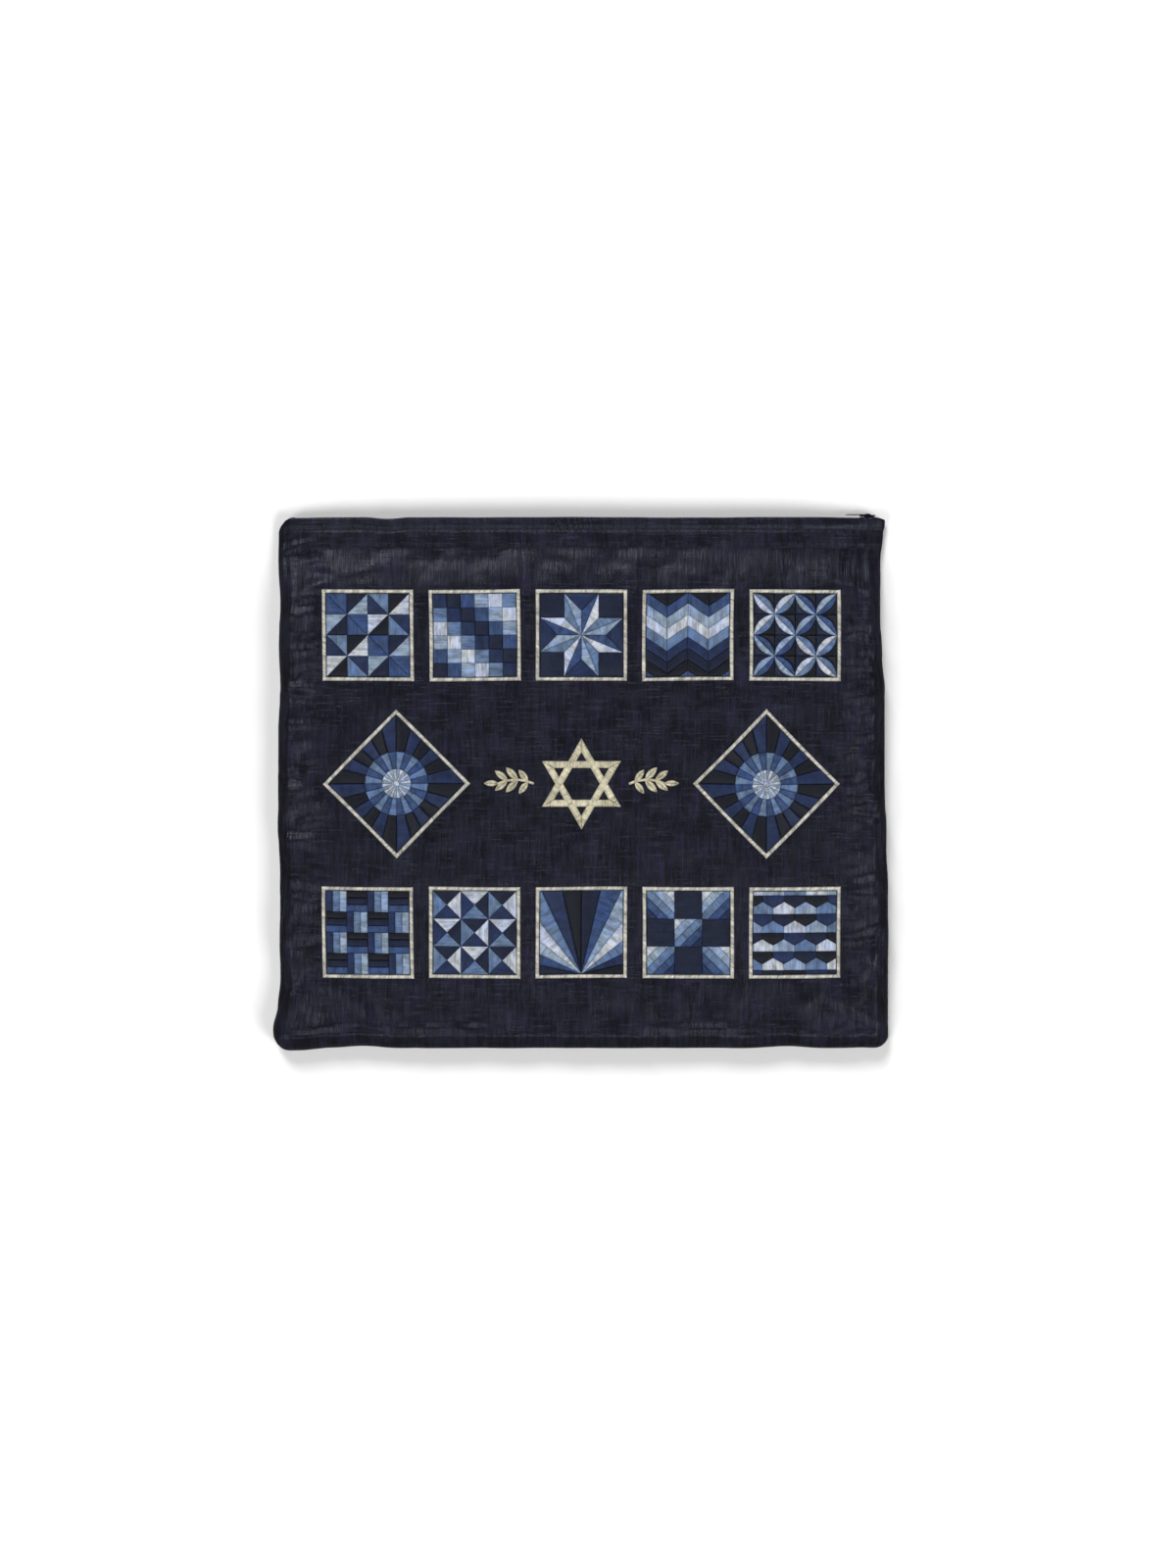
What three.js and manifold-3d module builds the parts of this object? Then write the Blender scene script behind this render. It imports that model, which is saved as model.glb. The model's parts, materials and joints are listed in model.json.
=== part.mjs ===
// A flat bag for a prayer shawl, in navy slub silk, lying on its back with its mouth towards +Y.
// Two cloth panels meet at the side and bottom seams and stay open at the mouth, where each lip carries
// one tape of an open zip. The front panel carries raised embroidery: framed patches in two rows,
// two framed lozenges and, between them, a star with a leafy sprig on each side.
// Millimetres, +Z up, +X to the right of the front face. Origin: centre of the footprint, on the table.

import * as THREE from "three";
import { mergeVertices } from "three/addons/utils/BufferGeometryUtils.js";
import Module from "manifold-3d";

const wasm = await Module();
wasm.setup();

// The bag
const BAG_WIDTH = 360; // side seam to side seam
const BAG_HEIGHT = 313.5; // bottom seam to the edge of the mouth
const BAG_THICKNESS = 22; // table to the top of the front panel
const CROWN_FALL = 3.5; // how much lower the front panel is at the start of its edge roll
const FRONT_WALL = 1.6; // silk, batting and backing
const BACK_WALL = 1.5;
const SEAM_HEIGHT = 7.5; // seam above the table, half-way along a side
const CORNER_SEAM_HEIGHT = 3.6; // seam above the table at a corner
const SEAM_GAP = 0.3; // between the two panels' edges
const EDGE_ROLL = 11; // reach of the rounding beside a seam
const EDGE_DRIFT = 3.2; // the most that a seam wanders from its straight line
const FLARE_REACH = 0.2; // share of the half width in which that wandering fades out

// The mouth
const MOUTH_HEIGHT = 17; // table to the top of the front lip, at the middle
const MOUTH_FALL = 1.5; // how much lower the lip is where its arch starts
const MOUTH_ARCH = 90; // reach of the lip's arch from each side seam
const LIP_SLOPE = 33; // length over which the front panel falls to the lip that the tape keeps level

// Corner radii
const CORNER_RADIUS = { top_left: 8, top_right: 3, bottom_left: 9, bottom_right: 8 };

// The zip, open, with its slider at the right
const TAPE_WIDTH = 14;
const TAPE_THICKNESS = 0.9;
const TAPE_GAP = 0.3; // tape to the lip that carries it
const TAPE_END_INSET = 9; // tape's end to the side seam
const COIL_WIDTH = 2.5;
const COIL_HEIGHT = 1.8;
const COIL_SETBACK = 0.9; // coil behind the lip's edge
const SLIDER_INSET = 10; // slider's middle to the side seam
const SLIDER_LENGTH = 9;
const SLIDER_DEPTH = 2;
const SLIDER_CLEARANCE = 0.3;
const PULL_LENGTH = 13;
const PULL_DEPTH = 1.1;
const PULL_SEAT = 0.2; // how deep the pull's back is seated in the slider
const PULL_HEIGHT_SHARE = 0.8; // of the slider's own height

// The embroidery
const LIFT = 0.3; // clearance of each embroidered piece over the cloth
const PATCH_SIZE = 54; // over the border
const LEAST_PATCH_GAP = 8; // between two patches in a row, which spans the embroidered width
const LOZENGE_SIZE = 62; // side of a lozenge, over the border
const SIDE_MARGIN = 27; // side seam to the embroidery
const END_MARGIN = 42; // bottom seam, or the mouth's edge, to the embroidery
const BORDER_WIDTH = 2.2;
const BORDER_HEIGHT = 1.3;
const BORDER_SHOULDER = 0.7; // height of the border's edges
const FIELD_HEIGHT = 0.8;
const FIELD_CLEARANCE = 0.3;
const PATCH_GRID = 4; // faces along each side of a patch
const STAR_RADIUS = 27;
const STAR_BAND = 4.2;
const ORNAMENT_HEIGHT = 1.1;
const SPRIG_START = 28; // from the bag's middle
const SPRIG_CLEARANCE = 6.5; // sprig's tip to the lozenge
const STEM_WIDTH = 1.5;

// Folds of the front panel's margin, which fade out towards the embroidery and the stiffened lip
const FOLD_LENGTH = 34;
const FOLD_WIDTH = 10;
const FOLD_DEPTH = 1.5;
const FOLD_FADE = 12; // distance outside the embroidery over which folds reach their full depth

// Wandering of each edge from straight: how far along it (from the bottom, or from the left),
// and how far outward, as a share of EDGE_DRIFT.
const LEFT_DRIFT = [
  { along: 0, out: 0.6 },
  { along: 0.04, out: 1 },
  { along: 0.08, out: 0.15 },
  { along: 0.13, out: -0.35 },
  { along: 0.32, out: -0.35 },
  { along: 0.42, out: 0 },
  { along: 0.6, out: 0 },
  { along: 0.68, out: -0.4 },
  { along: 0.76, out: -0.1 },
  { along: 0.84, out: -0.35 },
  { along: 0.92, out: 0 },
  { along: 1, out: 0 },
];
const RIGHT_DRIFT = [
  { along: 0, out: 0.7 },
  { along: 0.3, out: 0.6 },
  { along: 0.4, out: 0.25 },
  { along: 0.5, out: 0 },
  { along: 0.68, out: 0 },
  { along: 0.74, out: -0.5 },
  { along: 0.81, out: -0.8 },
  { along: 0.92, out: -0.8 },
  { along: 0.97, out: -0.2 },
  { along: 1, out: 0.2 },
];
const TOP_DRIFT = [
  { along: 0, out: 0 },
  { along: 0.14, out: 0 },
  { along: 0.18, out: -0.35 },
  { along: 0.22, out: 0 },
  { along: 0.92, out: 0 },
  { along: 0.97, out: 0.5 },
  { along: 1, out: 0.4 },
];
const BOTTOM_DRIFT = [
  { along: 0, out: 0.6 },
  { along: 0.04, out: 0.5 },
  { along: 0.09, out: 0 },
  { along: 0.14, out: -0.35 },
  { along: 0.2, out: 0 },
  { along: 0.76, out: 0 },
  { along: 0.84, out: -0.3 },
  { along: 0.9, out: 0 },
  { along: 1, out: 0 },
];

// Folds: centre as shares of the half width and half height, turn in degrees from +X, and length,
// width and height as shares of FOLD_LENGTH, FOLD_WIDTH and FOLD_DEPTH. A negative height is a dent.
const FOLDS = [
  { across: -0.93, up: 0.81, turn: -8, long: 1.1, wide: 1.1, high: 0.9 },
  { across: -0.95, up: 0.67, turn: 4, long: 0.8, wide: 1.2, high: -0.8 },
  { across: -0.94, up: 0.5, turn: 2, long: 0.8, wide: 0.9, high: 0.7 },
  { across: -0.93, up: 0.36, turn: -4, long: 0.9, wide: 1.0, high: 1.0 },
  { across: -0.95, up: 0.22, turn: 0, long: 0.7, wide: 0.9, high: 0.6 },
  { across: -0.94, up: -0.18, turn: 6, long: 0.8, wide: 1.2, high: -0.6 },
  { across: -0.9, up: -0.72, turn: 32, long: 1.1, wide: 1.3, high: -0.7 },
  { across: 0.94, up: 0.57, turn: 2, long: 0.8, wide: 1.0, high: -1.0 },
  { across: 0.93, up: 0.42, turn: -3, long: 0.8, wide: 0.9, high: -0.7 },
  { across: 0.94, up: 0.26, turn: 5, long: 0.7, wide: 1.0, high: 0.6 },
  { across: 0.94, up: -0.12, turn: -4, long: 0.8, wide: 1.1, high: -0.6 },
  { across: 0.93, up: -0.42, turn: 3, long: 0.7, wide: 1.0, high: 0.6 },
  { across: 0.9, up: -0.89, turn: -28, long: 1.0, wide: 1.2, high: -0.9 },
  { across: 0.9, up: 0.76, turn: 24, long: 1.0, wide: 1.2, high: 0.8 },
  { across: -0.5, up: -0.92, turn: 0, long: 2.2, wide: 0.9, high: 0.6 },
  { across: 0.42, up: -0.92, turn: 0, long: 2.6, wide: 0.9, high: 0.6 },
];

const PATCH_COLOURS = { field: 0x33456b, border: 0xd9d4c4, ornament: 0xe4dfc8 };
const CLOTH = new THREE.MeshStandardMaterial({ color: 0x22222e, roughness: 0.62, metalness: 0 });
const FIELD_THREAD = new THREE.MeshStandardMaterial({ color: PATCH_COLOURS.field, roughness: 0.5 });
const BORDER_THREAD = new THREE.MeshStandardMaterial({ color: PATCH_COLOURS.border, roughness: 0.45 });
const ORNAMENT_THREAD = new THREE.MeshStandardMaterial({ color: PATCH_COLOURS.ornament, roughness: 0.4 });
const ZIP_TAPE = new THREE.MeshStandardMaterial({ color: 0x15151d, roughness: 0.8, metalness: 0 });
const ZIP_METAL = new THREE.MeshStandardMaterial({ color: 0x2a2a30, roughness: 0.4, metalness: 0.7 });

const { clamp, lerp, smoothstep, degToRad } = THREE.MathUtils;

// Outward drift of an edge at a share of its length, eased between the rows of its table.
function drift(rows, along) {
  const next = rows.findIndex((row) => row.along > along);
  if (next < 0) return rows.at(-1).out * EDGE_DRIFT;
  const [a, b] = [rows[next - 1], rows[next]];
  return lerp(a.out, b.out, smoothstep(along, a.along, b.along)) * EDGE_DRIFT;
}

// Plan position of the point (u, v) of a panel, each from -1 to 1, on a face that lies `inset`
// inside the seams. The mouth edge, v = 1, has no inset.
function planPoint(u, v, inset) {
  const halfWidth = BAG_WIDTH / 2 - inset;
  const top = BAG_HEIGHT / 2;
  const bottom = BAG_HEIGHT / 2 - inset;
  let x = u * halfWidth;
  let y = lerp(-bottom, top, (v + 1) / 2);
  const corner = `${v > 0 ? "top" : "bottom"}_${u > 0 ? "right" : "left"}`;
  const radius = Math.max(CORNER_RADIUS[corner] - inset, CORNER_RADIUS[corner] / 3);
  const intoX = (Math.abs(x) - halfWidth + radius) / radius;
  const intoY = (Math.abs(y) - (v > 0 ? top : bottom) + radius) / radius;
  if (intoX > 0 && intoY > 0) {
    x += Math.sign(u) * radius * (intoX * Math.sqrt(1 - intoY ** 2 / 2) - intoX);
    y += Math.sign(v) * radius * (intoY * Math.sqrt(1 - intoX ** 2 / 2) - intoY);
  }
  const sideways = smoothstep(Math.abs(u), 1 - FLARE_REACH, 1);
  const lengthways = smoothstep(Math.abs(v), 1 - FLARE_REACH, 1);
  x += Math.sign(u) * sideways * drift(u > 0 ? RIGHT_DRIFT : LEFT_DRIFT, (v + 1) / 2);
  y += Math.sign(v) * lengthways * drift(v > 0 ? TOP_DRIFT : BOTTOM_DRIFT, (u + 1) / 2);
  return { x, y };
}

// The (u, v) of a plan position on the outer face.
function panelPlace(x, y) {
  let u = (2 * x) / BAG_WIDTH;
  let v = (2 * y) / BAG_HEIGHT;
  for (let step = 0; step < 12; step++) {
    const at = planPoint(u, v, 0);
    u = clamp(u + (2 * (x - at.x)) / BAG_WIDTH, -1, 1);
    v = clamp(v + (2 * (y - at.y)) / BAG_HEIGHT, -1, 1);
  }
  return { u, v };
}

// Where the lip becomes level, and where the front panel starts to fall to it, as v.
const LIP_LEVEL = 1 - (2 * (TAPE_WIDTH + COIL_SETBACK)) / BAG_HEIGHT;
const LIP_START = LIP_LEVEL - (2 * LIP_SLOPE) / BAG_HEIGHT;

// Quarter-circle rise from 0 at an edge to 1 at `reach` from it.
function roll(distance, reach) {
  return Math.sqrt(1 - (1 - clamp(distance / reach, 0, 1)) ** 2);
}

// Height of the seam line above the table, lower towards the corners.
function seamHeight(u, v) {
  const cornered = smoothstep(Math.abs(u), 0.5, 1) * smoothstep(Math.abs(v), 0.5, 1);
  return lerp(SEAM_HEIGHT, CORNER_SEAM_HEIGHT, cornered);
}

// Half extents of the embroidered area.
const DESIGN_HALF = { x: BAG_WIDTH / 2 - SIDE_MARGIN, y: BAG_HEIGHT / 2 - END_MARGIN };

// Height that the folds add at (u, v). They fade out where the embroidery keeps the cloth flat.
function foldHeight(u, v) {
  const x = (u * BAG_WIDTH) / 2;
  const y = (v * BAG_HEIGHT) / 2;
  const outside = Math.max(Math.abs(x) - DESIGN_HALF.x, Math.abs(y) - DESIGN_HALF.y);
  const loose = 1 - smoothstep(v, LIP_START, LIP_LEVEL);
  const strength = smoothstep(outside, 0, FOLD_FADE) * loose * FOLD_DEPTH;
  return FOLDS.reduce((sum, fold) => {
    const turn = degToRad(fold.turn);
    const dx = x - (fold.across * BAG_WIDTH) / 2;
    const dy = y - (fold.up * BAG_HEIGHT) / 2;
    const along = (dx * Math.cos(turn) + dy * Math.sin(turn)) / ((fold.long * FOLD_LENGTH) / 2);
    const across = (dy * Math.cos(turn) - dx * Math.sin(turn)) / ((fold.wide * FOLD_WIDTH) / 2);
    return sum + fold.high * strength * Math.exp(-(along ** 2) - across ** 2);
  }, 0);
}

// A point of the front panel: its outer face at inset 0, its inner face at inset FRONT_WALL.
function frontPoint(u, v, inset) {
  const toMouth = smoothstep(v, LIP_START, LIP_LEVEL);
  const crown = BAG_THICKNESS - CROWN_FALL * (u ** 2 + Math.min(v, 0) ** 2) / 2;
  const lip = MOUTH_HEIGHT - MOUTH_FALL * u ** 2;
  const reach = lerp(EDGE_ROLL, MOUTH_ARCH, toMouth);
  const fromSide = (BAG_WIDTH / 2 - inset) * (1 - Math.abs(u));
  const fromBottom = ((BAG_HEIGHT - inset) / 2) * (1 + v);
  const rise = roll(fromSide, reach) * roll(fromBottom, EDGE_ROLL);
  const seam = seamHeight(u, v) + SEAM_GAP / 2;
  const top = lerp(crown, lip, toMouth) - inset + foldHeight(u, v);
  const { x, y } = planPoint(u, v, inset);
  return new THREE.Vector3(x, y, lerp(seam, top, rise));
}

// A point of the back panel: its outer face at inset 0, its inner face at inset BACK_WALL.
function backPoint(u, v, inset) {
  const fromSide = (BAG_WIDTH / 2 - inset) * (1 - Math.abs(u));
  const fromBottom = ((BAG_HEIGHT - inset) / 2) * (1 + v);
  const rise = roll(fromSide, EDGE_ROLL) * roll(fromBottom, EDGE_ROLL);
  const seam = seamHeight(u, v) - SEAM_GAP / 2;
  const { x, y } = planPoint(u, v, inset);
  return new THREE.Vector3(x, y, lerp(seam, inset, rise));
}

// Height of the front panel's outer face at a plan position.
function frontHeight(x, y) {
  const { u, v } = panelPlace(x, y);
  return frontPoint(u, v, 0).z;
}

// Grid lines from -1 to 1, closer together towards both ends by the share `crowding`.
function gridLines(count, crowding) {
  return Array.from({ length: count + 1 }, (_, i) => {
    const even = (2 * i) / count - 1;
    return lerp(even, Math.sin((even * Math.PI) / 2), crowding);
  });
}

function geometryOf(points, faces) {
  const geometry = new THREE.BufferGeometry().setFromPoints(points);
  geometry.setIndex(faces.flat());
  return geometry;
}

// A closed slab between two faces that share the grid us by vs. `upper` lies above `lower`.
function slab(us, vs, upper, lower) {
  const columns = us.length;
  const rows = vs.length;
  const layer = columns * rows;
  const at = (i, j) => j * columns + i;
  const points = [upper, lower].flatMap((face) => vs.flatMap((v) => us.map((u) => face(u, v))));
  const faces = [];
  for (let j = 0; j < rows - 1; j++) {
    for (let i = 0; i < columns - 1; i++) {
      const [a, b, c, d] = [at(i, j), at(i + 1, j), at(i + 1, j + 1), at(i, j + 1)];
      const rising = (us[i] + us[i + 1]) * (vs[j] + vs[j + 1]) >= 0;
      const pair = rising ? [[a, b, c], [a, c, d]] : [[a, b, d], [b, c, d]];
      pair.forEach(([p, q, r]) => faces.push([p, q, r], [layer + p, layer + r, layer + q]));
    }
  }
  const rim = [
    ...us.slice(0, -1).map((_, i) => at(i, 0)),
    ...vs.slice(0, -1).map((_, j) => at(columns - 1, j)),
    ...us.slice(1).map((_, i) => at(columns - 1 - i, rows - 1)),
    ...vs.slice(1).map((_, j) => at(0, rows - 1 - j)),
  ];
  rim.forEach((p, k) => {
    const q = rim[(k + 1) % rim.length];
    faces.push([p, layer + q, q], [p, layer + p, layer + q]);
  });
  return geometryOf(points, faces);
}

// A solid through a row of sections with equal point counts, closed into a ring or capped at its ends.
function sweep(sections, ring) {
  const count = sections[0].length;
  const points = sections.flat();
  const faces = [];
  const last = ring ? sections.length : sections.length - 1;
  for (let s = 0; s < last; s++) {
    const from = s * count;
    const to = ((s + 1) % sections.length) * count;
    for (let k = 0; k < count; k++) {
      const n = (k + 1) % count;
      faces.push([from + k, from + n, to + n], [from + k, to + n, to + k]);
    }
  }
  return { points, faces, count };
}

function mesh(name, geometry, material) {
  const made = new THREE.Mesh(geometry, material);
  made.name = name;
  return made;
}

// The cloth panels
const FRONT_GRID = { across: 28, up: 34, crowding: 0.75 };
const BACK_GRID = { across: 22, up: 20, crowding: 0.92 };

function frontPanel() {
  const { across, up, crowding } = FRONT_GRID;
  const outer = (u, v) => frontPoint(u, v, 0);
  const inner = (u, v) => frontPoint(u, v, FRONT_WALL);
  return slab(gridLines(across, crowding), gridLines(up, crowding), outer, inner);
}

function backPanel() {
  const { across, up, crowding } = BACK_GRID;
  const outer = (u, v) => backPoint(u, v, 0);
  const inner = (u, v) => backPoint(u, v, BACK_WALL);
  return slab(gridLines(across, crowding), gridLines(up, crowding), inner, outer);
}

// One zip tape with its coil, along the inner face of a lip. `side` is 1 for the front lip and -1
// for the back lip, `lipPoint` gives the inner face that the tape lies against, and `us` the
// panel's own grid lines, which the tape follows so that the two stay parallel.
function zipTape(lipPoint, wall, side, us) {
  const reach = 1 - (2 * TAPE_END_INSET) / BAG_WIDTH;
  const shares = [-reach, ...us.filter((u) => Math.abs(u) < reach - 0.004), reach];
  const coilEnd = COIL_SETBACK + COIL_WIDTH;
  const tapeEnd = COIL_SETBACK + TAPE_WIDTH;
  const profile = [
    { back: COIL_SETBACK, off: 0 },
    { back: tapeEnd, off: 0 },
    { back: tapeEnd, off: TAPE_THICKNESS },
    { back: coilEnd, off: TAPE_THICKNESS },
    { back: coilEnd, off: COIL_HEIGHT },
    { back: COIL_SETBACK, off: COIL_HEIGHT },
  ];
  const sections = shares.map((u) =>
    profile.map(({ back, off }) => {
      const point = lipPoint(u, 1 - (2 * back) / BAG_HEIGHT, wall);
      point.z -= side * (TAPE_GAP + off);
      return point;
    }),
  );
  const { points, faces, count } = sweep(sections, false);
  const flat = profile.map(({ back, off }) => new THREE.Vector2(back, off));
  const cap = THREE.ShapeUtils.triangulateShape(flat, []);
  const end = points.length - count;
  cap.forEach(([a, b, c]) => faces.push([a, c, b], [end + a, end + b, end + c]));
  return facingOut(geometryOf(points, faces));
}

// The same geometry with its faces pointing out.
function facingOut(geometry) {
  const p = geometry.getAttribute("position");
  const index = geometry.getIndex().array;
  const [a, b, c] = [new THREE.Vector3(), new THREE.Vector3(), new THREE.Vector3()];
  let volume = 0;
  for (let i = 0; i < index.length; i += 3) {
    a.fromBufferAttribute(p, index[i]);
    b.fromBufferAttribute(p, index[i + 1]);
    c.fromBufferAttribute(p, index[i + 2]);
    volume += a.dot(b.cross(c));
  }
  if (volume < 0) {
    for (let i = 0; i < index.length; i += 3) {
      [index[i + 1], index[i + 2]] = [index[i + 2], index[i + 1]];
    }
  }
  return geometry;
}

// Slider and pull in one piece, between the lips at the mouth's right end.
function zipSlider() {
  const place = BAG_WIDTH / 2 - SLIDER_INSET;
  const lipEdge = frontPoint((2 * place) / BAG_WIDTH, 1, 0).y;
  const ends = [place - SLIDER_LENGTH / 2, place + SLIDER_LENGTH / 2];
  const shares = ends.map((x) => (2 * x) / BAG_WIDTH);
  const low = Math.max(...shares.map((u) => backPoint(u, 1, BACK_WALL).z)) + SLIDER_CLEARANCE;
  const high = Math.min(...shares.map((u) => frontPoint(u, 1, FRONT_WALL).z)) - SLIDER_CLEARANCE;
  const height = high - low;
  const middle = (low + high) / 2;
  const back = lipEdge - COIL_SETBACK + SLIDER_CLEARANCE;
  const body = roundedBar(SLIDER_LENGTH, height, SLIDER_DEPTH);
  body.translate(place, back, middle);
  const pull = roundedBar(PULL_LENGTH, height * PULL_HEIGHT_SHARE, PULL_DEPTH);
  pull.translate(place - PULL_LENGTH / 2, back + SLIDER_DEPTH - PULL_SEAT, middle);
  return joined([body, pull]);
}

// A bar with round ends, length along X, height along Z and depth along +Y from y = 0.
function roundedBar(length, height, depth) {
  const radius = height / 2;
  const straight = length / 2 - radius;
  const outline = new THREE.Shape();
  outline.absarc(straight, 0, radius, -Math.PI / 2, Math.PI / 2, false);
  outline.absarc(-straight, 0, radius, Math.PI / 2, (3 * Math.PI) / 2, false);
  const bar = new THREE.ExtrudeGeometry(outline, { depth, bevelEnabled: false, curveSegments: 6 });
  bar.rotateX(Math.PI / 2);
  bar.translate(0, depth, 0);
  return bar;
}

// Several closed geometries as one solid.
function joined(geometries) {
  const solids = geometries.map((geometry) => {
    const bare = geometry.clone();
    bare.deleteAttribute("normal");
    bare.deleteAttribute("uv");
    const merged = mergeVertices(bare, 1e-4);
    const vertProperties = merged.getAttribute("position").array;
    const triVerts = new Uint32Array(merged.getIndex().array);
    return new wasm.Manifold(new wasm.Mesh({ numProp: 3, vertProperties, triVerts }));
  });
  const whole = solids.reduce((sum, solid) => sum.add(solid)).getMesh();
  const geometry = new THREE.BufferGeometry();
  geometry.setAttribute("position", new THREE.BufferAttribute(whole.vertProperties, 3));
  geometry.setIndex(new THREE.BufferAttribute(whole.triVerts, 1));
  return geometry;
}

// The embroidery: local plan position to the place on the front panel, at a height above the cloth.
function onFront(centre, turn, a, b, height) {
  const x = centre.x + a * Math.cos(turn) - b * Math.sin(turn);
  const y = centre.y + a * Math.sin(turn) + b * Math.cos(turn);
  return new THREE.Vector3(x, y, frontHeight(x, y) + LIFT + height);
}

// Square frame of satin stitch, with a low crown along its middle.
function border(centre, turn, size) {
  const outer = size / 2;
  const inner = outer - BORDER_WIDTH;
  const profile = [
    { half: outer, height: 0 },
    { half: outer, height: BORDER_SHOULDER },
    { half: (outer + inner) / 2, height: BORDER_HEIGHT },
    { half: inner, height: BORDER_SHOULDER },
    { half: inner, height: 0 },
  ];
  const corners = [[-1, -1], [1, -1], [1, 1], [-1, 1]];
  const sections = corners.flatMap(([ax, ay], k) => {
    const [bx, by] = corners[(k + 1) % corners.length];
    return Array.from({ length: PATCH_GRID }, (_, i) => {
      const [sx, sy] = [lerp(ax, bx, i / PATCH_GRID), lerp(ay, by, i / PATCH_GRID)];
      return profile.map(({ half, height }) => onFront(centre, turn, sx * half, sy * half, height));
    });
  });
  const { points, faces } = sweep(sections, true);
  return facingOut(geometryOf(points, faces));
}

// Stitched ground inside a border.
function field(centre, turn, size) {
  const half = size / 2 - BORDER_WIDTH - FIELD_CLEARANCE;
  const lines = gridLines(PATCH_GRID, 0);
  const face = (height) => (u, v) => onFront(centre, turn, u * half, v * half, height);
  return slab(lines, lines, face(FIELD_HEIGHT), face(0));
}

// A flat extrusion laid on the front panel.
function draped(geometry) {
  const p = geometry.getAttribute("position");
  for (let i = 0; i < p.count; i++) {
    p.setZ(i, frontHeight(p.getX(i), p.getY(i)) + LIFT + p.getZ(i));
  }
  return geometry;
}

// Six-pointed star of two crossed triangles, each a band of the same width.
function star() {
  const polar = (radius, degrees) =>
    new THREE.Vector2(radius * Math.cos(degToRad(degrees)), radius * Math.sin(degToRad(degrees)));
  const tips = [90, 150, 210, 270, 330, 30];
  const notchRadius = STAR_RADIUS / Math.sqrt(3);
  const outline = new THREE.Shape(
    tips.flatMap((angle) => [polar(STAR_RADIUS, angle), polar(notchRadius, angle + 30)]),
  );
  const innerRadius = STAR_RADIUS - 2 * STAR_BAND;
  const hexagon = tips.map((angle) => polar(innerRadius / Math.sqrt(3), angle + 30));
  outline.holes.push(new THREE.Path(hexagon));
  const tipBase = STAR_RADIUS / 2;
  const tipHalf = (innerRadius - tipBase) * Math.tan(Math.PI / 6);
  tips.forEach((angle) => {
    const about = new THREE.Vector2();
    const spin = degToRad(angle - 90);
    const corners = [[0, innerRadius], [-tipHalf, tipBase], [tipHalf, tipBase]];
    const turned = corners.map(([x, y]) => new THREE.Vector2(x, y).rotateAround(about, spin));
    outline.holes.push(new THREE.Path(turned));
  });
  const flat = new THREE.ExtrudeGeometry(outline, { depth: ORNAMENT_HEIGHT, bevelEnabled: false });
  return draped(joined([flat]));
}

// The sprig's own form, as shares of its reach: its stem's length and bow, and each leaf's place
// along the stem, turn away from it in degrees, length and width.
const SPRIG_STEM = { long: 0.71, bow: 0.16 };
const LEAVES = [
  { along: 0.16, turn: 52, long: 0.3, wide: 0.13 },
  { along: 0.16, turn: -52, long: 0.3, wide: 0.13 },
  { along: 0.44, turn: 46, long: 0.34, wide: 0.14 },
  { along: 0.44, turn: -46, long: 0.34, wide: 0.14 },
  { along: 0.72, turn: 38, long: 0.32, wide: 0.13 },
  { along: 0.72, turn: -38, long: 0.32, wide: 0.13 },
  { along: 0.96, turn: 0, long: 0.3, wide: 0.12 },
];

// A leafy sprig between the star and a lozenge. `side` is 1 to the right and -1 to the left.
function sprig(side) {
  const start = SPRIG_START;
  const reach = lozengePlace() - LOZENGE_SIZE / Math.SQRT2 - SPRIG_CLEARANCE - start;
  const end = start + SPRIG_STEM.long * reach;
  const middle = (start + end) / 2;
  const bow = SPRIG_STEM.bow * reach;
  const halfStem = STEM_WIDTH / 2;
  const stem = new THREE.Shape();
  stem.moveTo(side * start, -halfStem);
  stem.quadraticCurveTo(side * middle, bow - halfStem, side * end, -halfStem);
  stem.lineTo(side * end, halfStem);
  stem.quadraticCurveTo(side * middle, bow + halfStem, side * start, halfStem);
  const leaves = LEAVES.map(({ along, turn, long, wide }) => {
    const base = { x: lerp(start, end, along), y: 2 * bow * along * (1 - along) };
    const spin = degToRad(turn);
    const place = (l, w) => [
      side * (base.x + reach * (l * Math.cos(spin) - w * Math.sin(spin))),
      base.y + reach * (l * Math.sin(spin) + w * Math.cos(spin)),
    ];
    const leaf = new THREE.Shape();
    leaf.moveTo(...place(0, 0));
    leaf.quadraticCurveTo(...place(long / 2, wide), ...place(long, 0));
    leaf.quadraticCurveTo(...place(long / 2, -wide), ...place(0, 0));
    return leaf;
  });
  const settings = { depth: ORNAMENT_HEIGHT, bevelEnabled: false, curveSegments: 5 };
  const flats = [stem, ...leaves].map((shape) => new THREE.ExtrudeGeometry(shape, settings));
  return draped(joined(flats));
}

// A lozenge's centre from the bag's middle: its outer corner lines up with the rows' ends.
function lozengePlace() {
  return DESIGN_HALF.x - LOZENGE_SIZE / Math.SQRT2;
}

// Every framed patch: its name, centre, turn and size.
function patches() {
  const span = 2 * DESIGN_HALF.x;
  const columns = Math.floor((span + LEAST_PATCH_GAP) / (PATCH_SIZE + LEAST_PATCH_GAP));
  const pitch = (span - PATCH_SIZE) / (columns - 1);
  const rows = [["top", 1], ["bottom", -1]].flatMap(([row, side]) =>
    Array.from({ length: columns }, (_, i) => ({
      name: `${row}_${i + 1}`,
      centre: { x: (i - (columns - 1) / 2) * pitch, y: side * (DESIGN_HALF.y - PATCH_SIZE / 2) },
      turn: 0,
      size: PATCH_SIZE,
    })),
  );
  const lozenges = [["left", -1], ["right", 1]].map(([name, side]) => ({
    name,
    centre: { x: side * lozengePlace(), y: 0 },
    turn: Math.PI / 4,
    size: LOZENGE_SIZE,
  }));
  return [...rows, ...lozenges];
}

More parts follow.
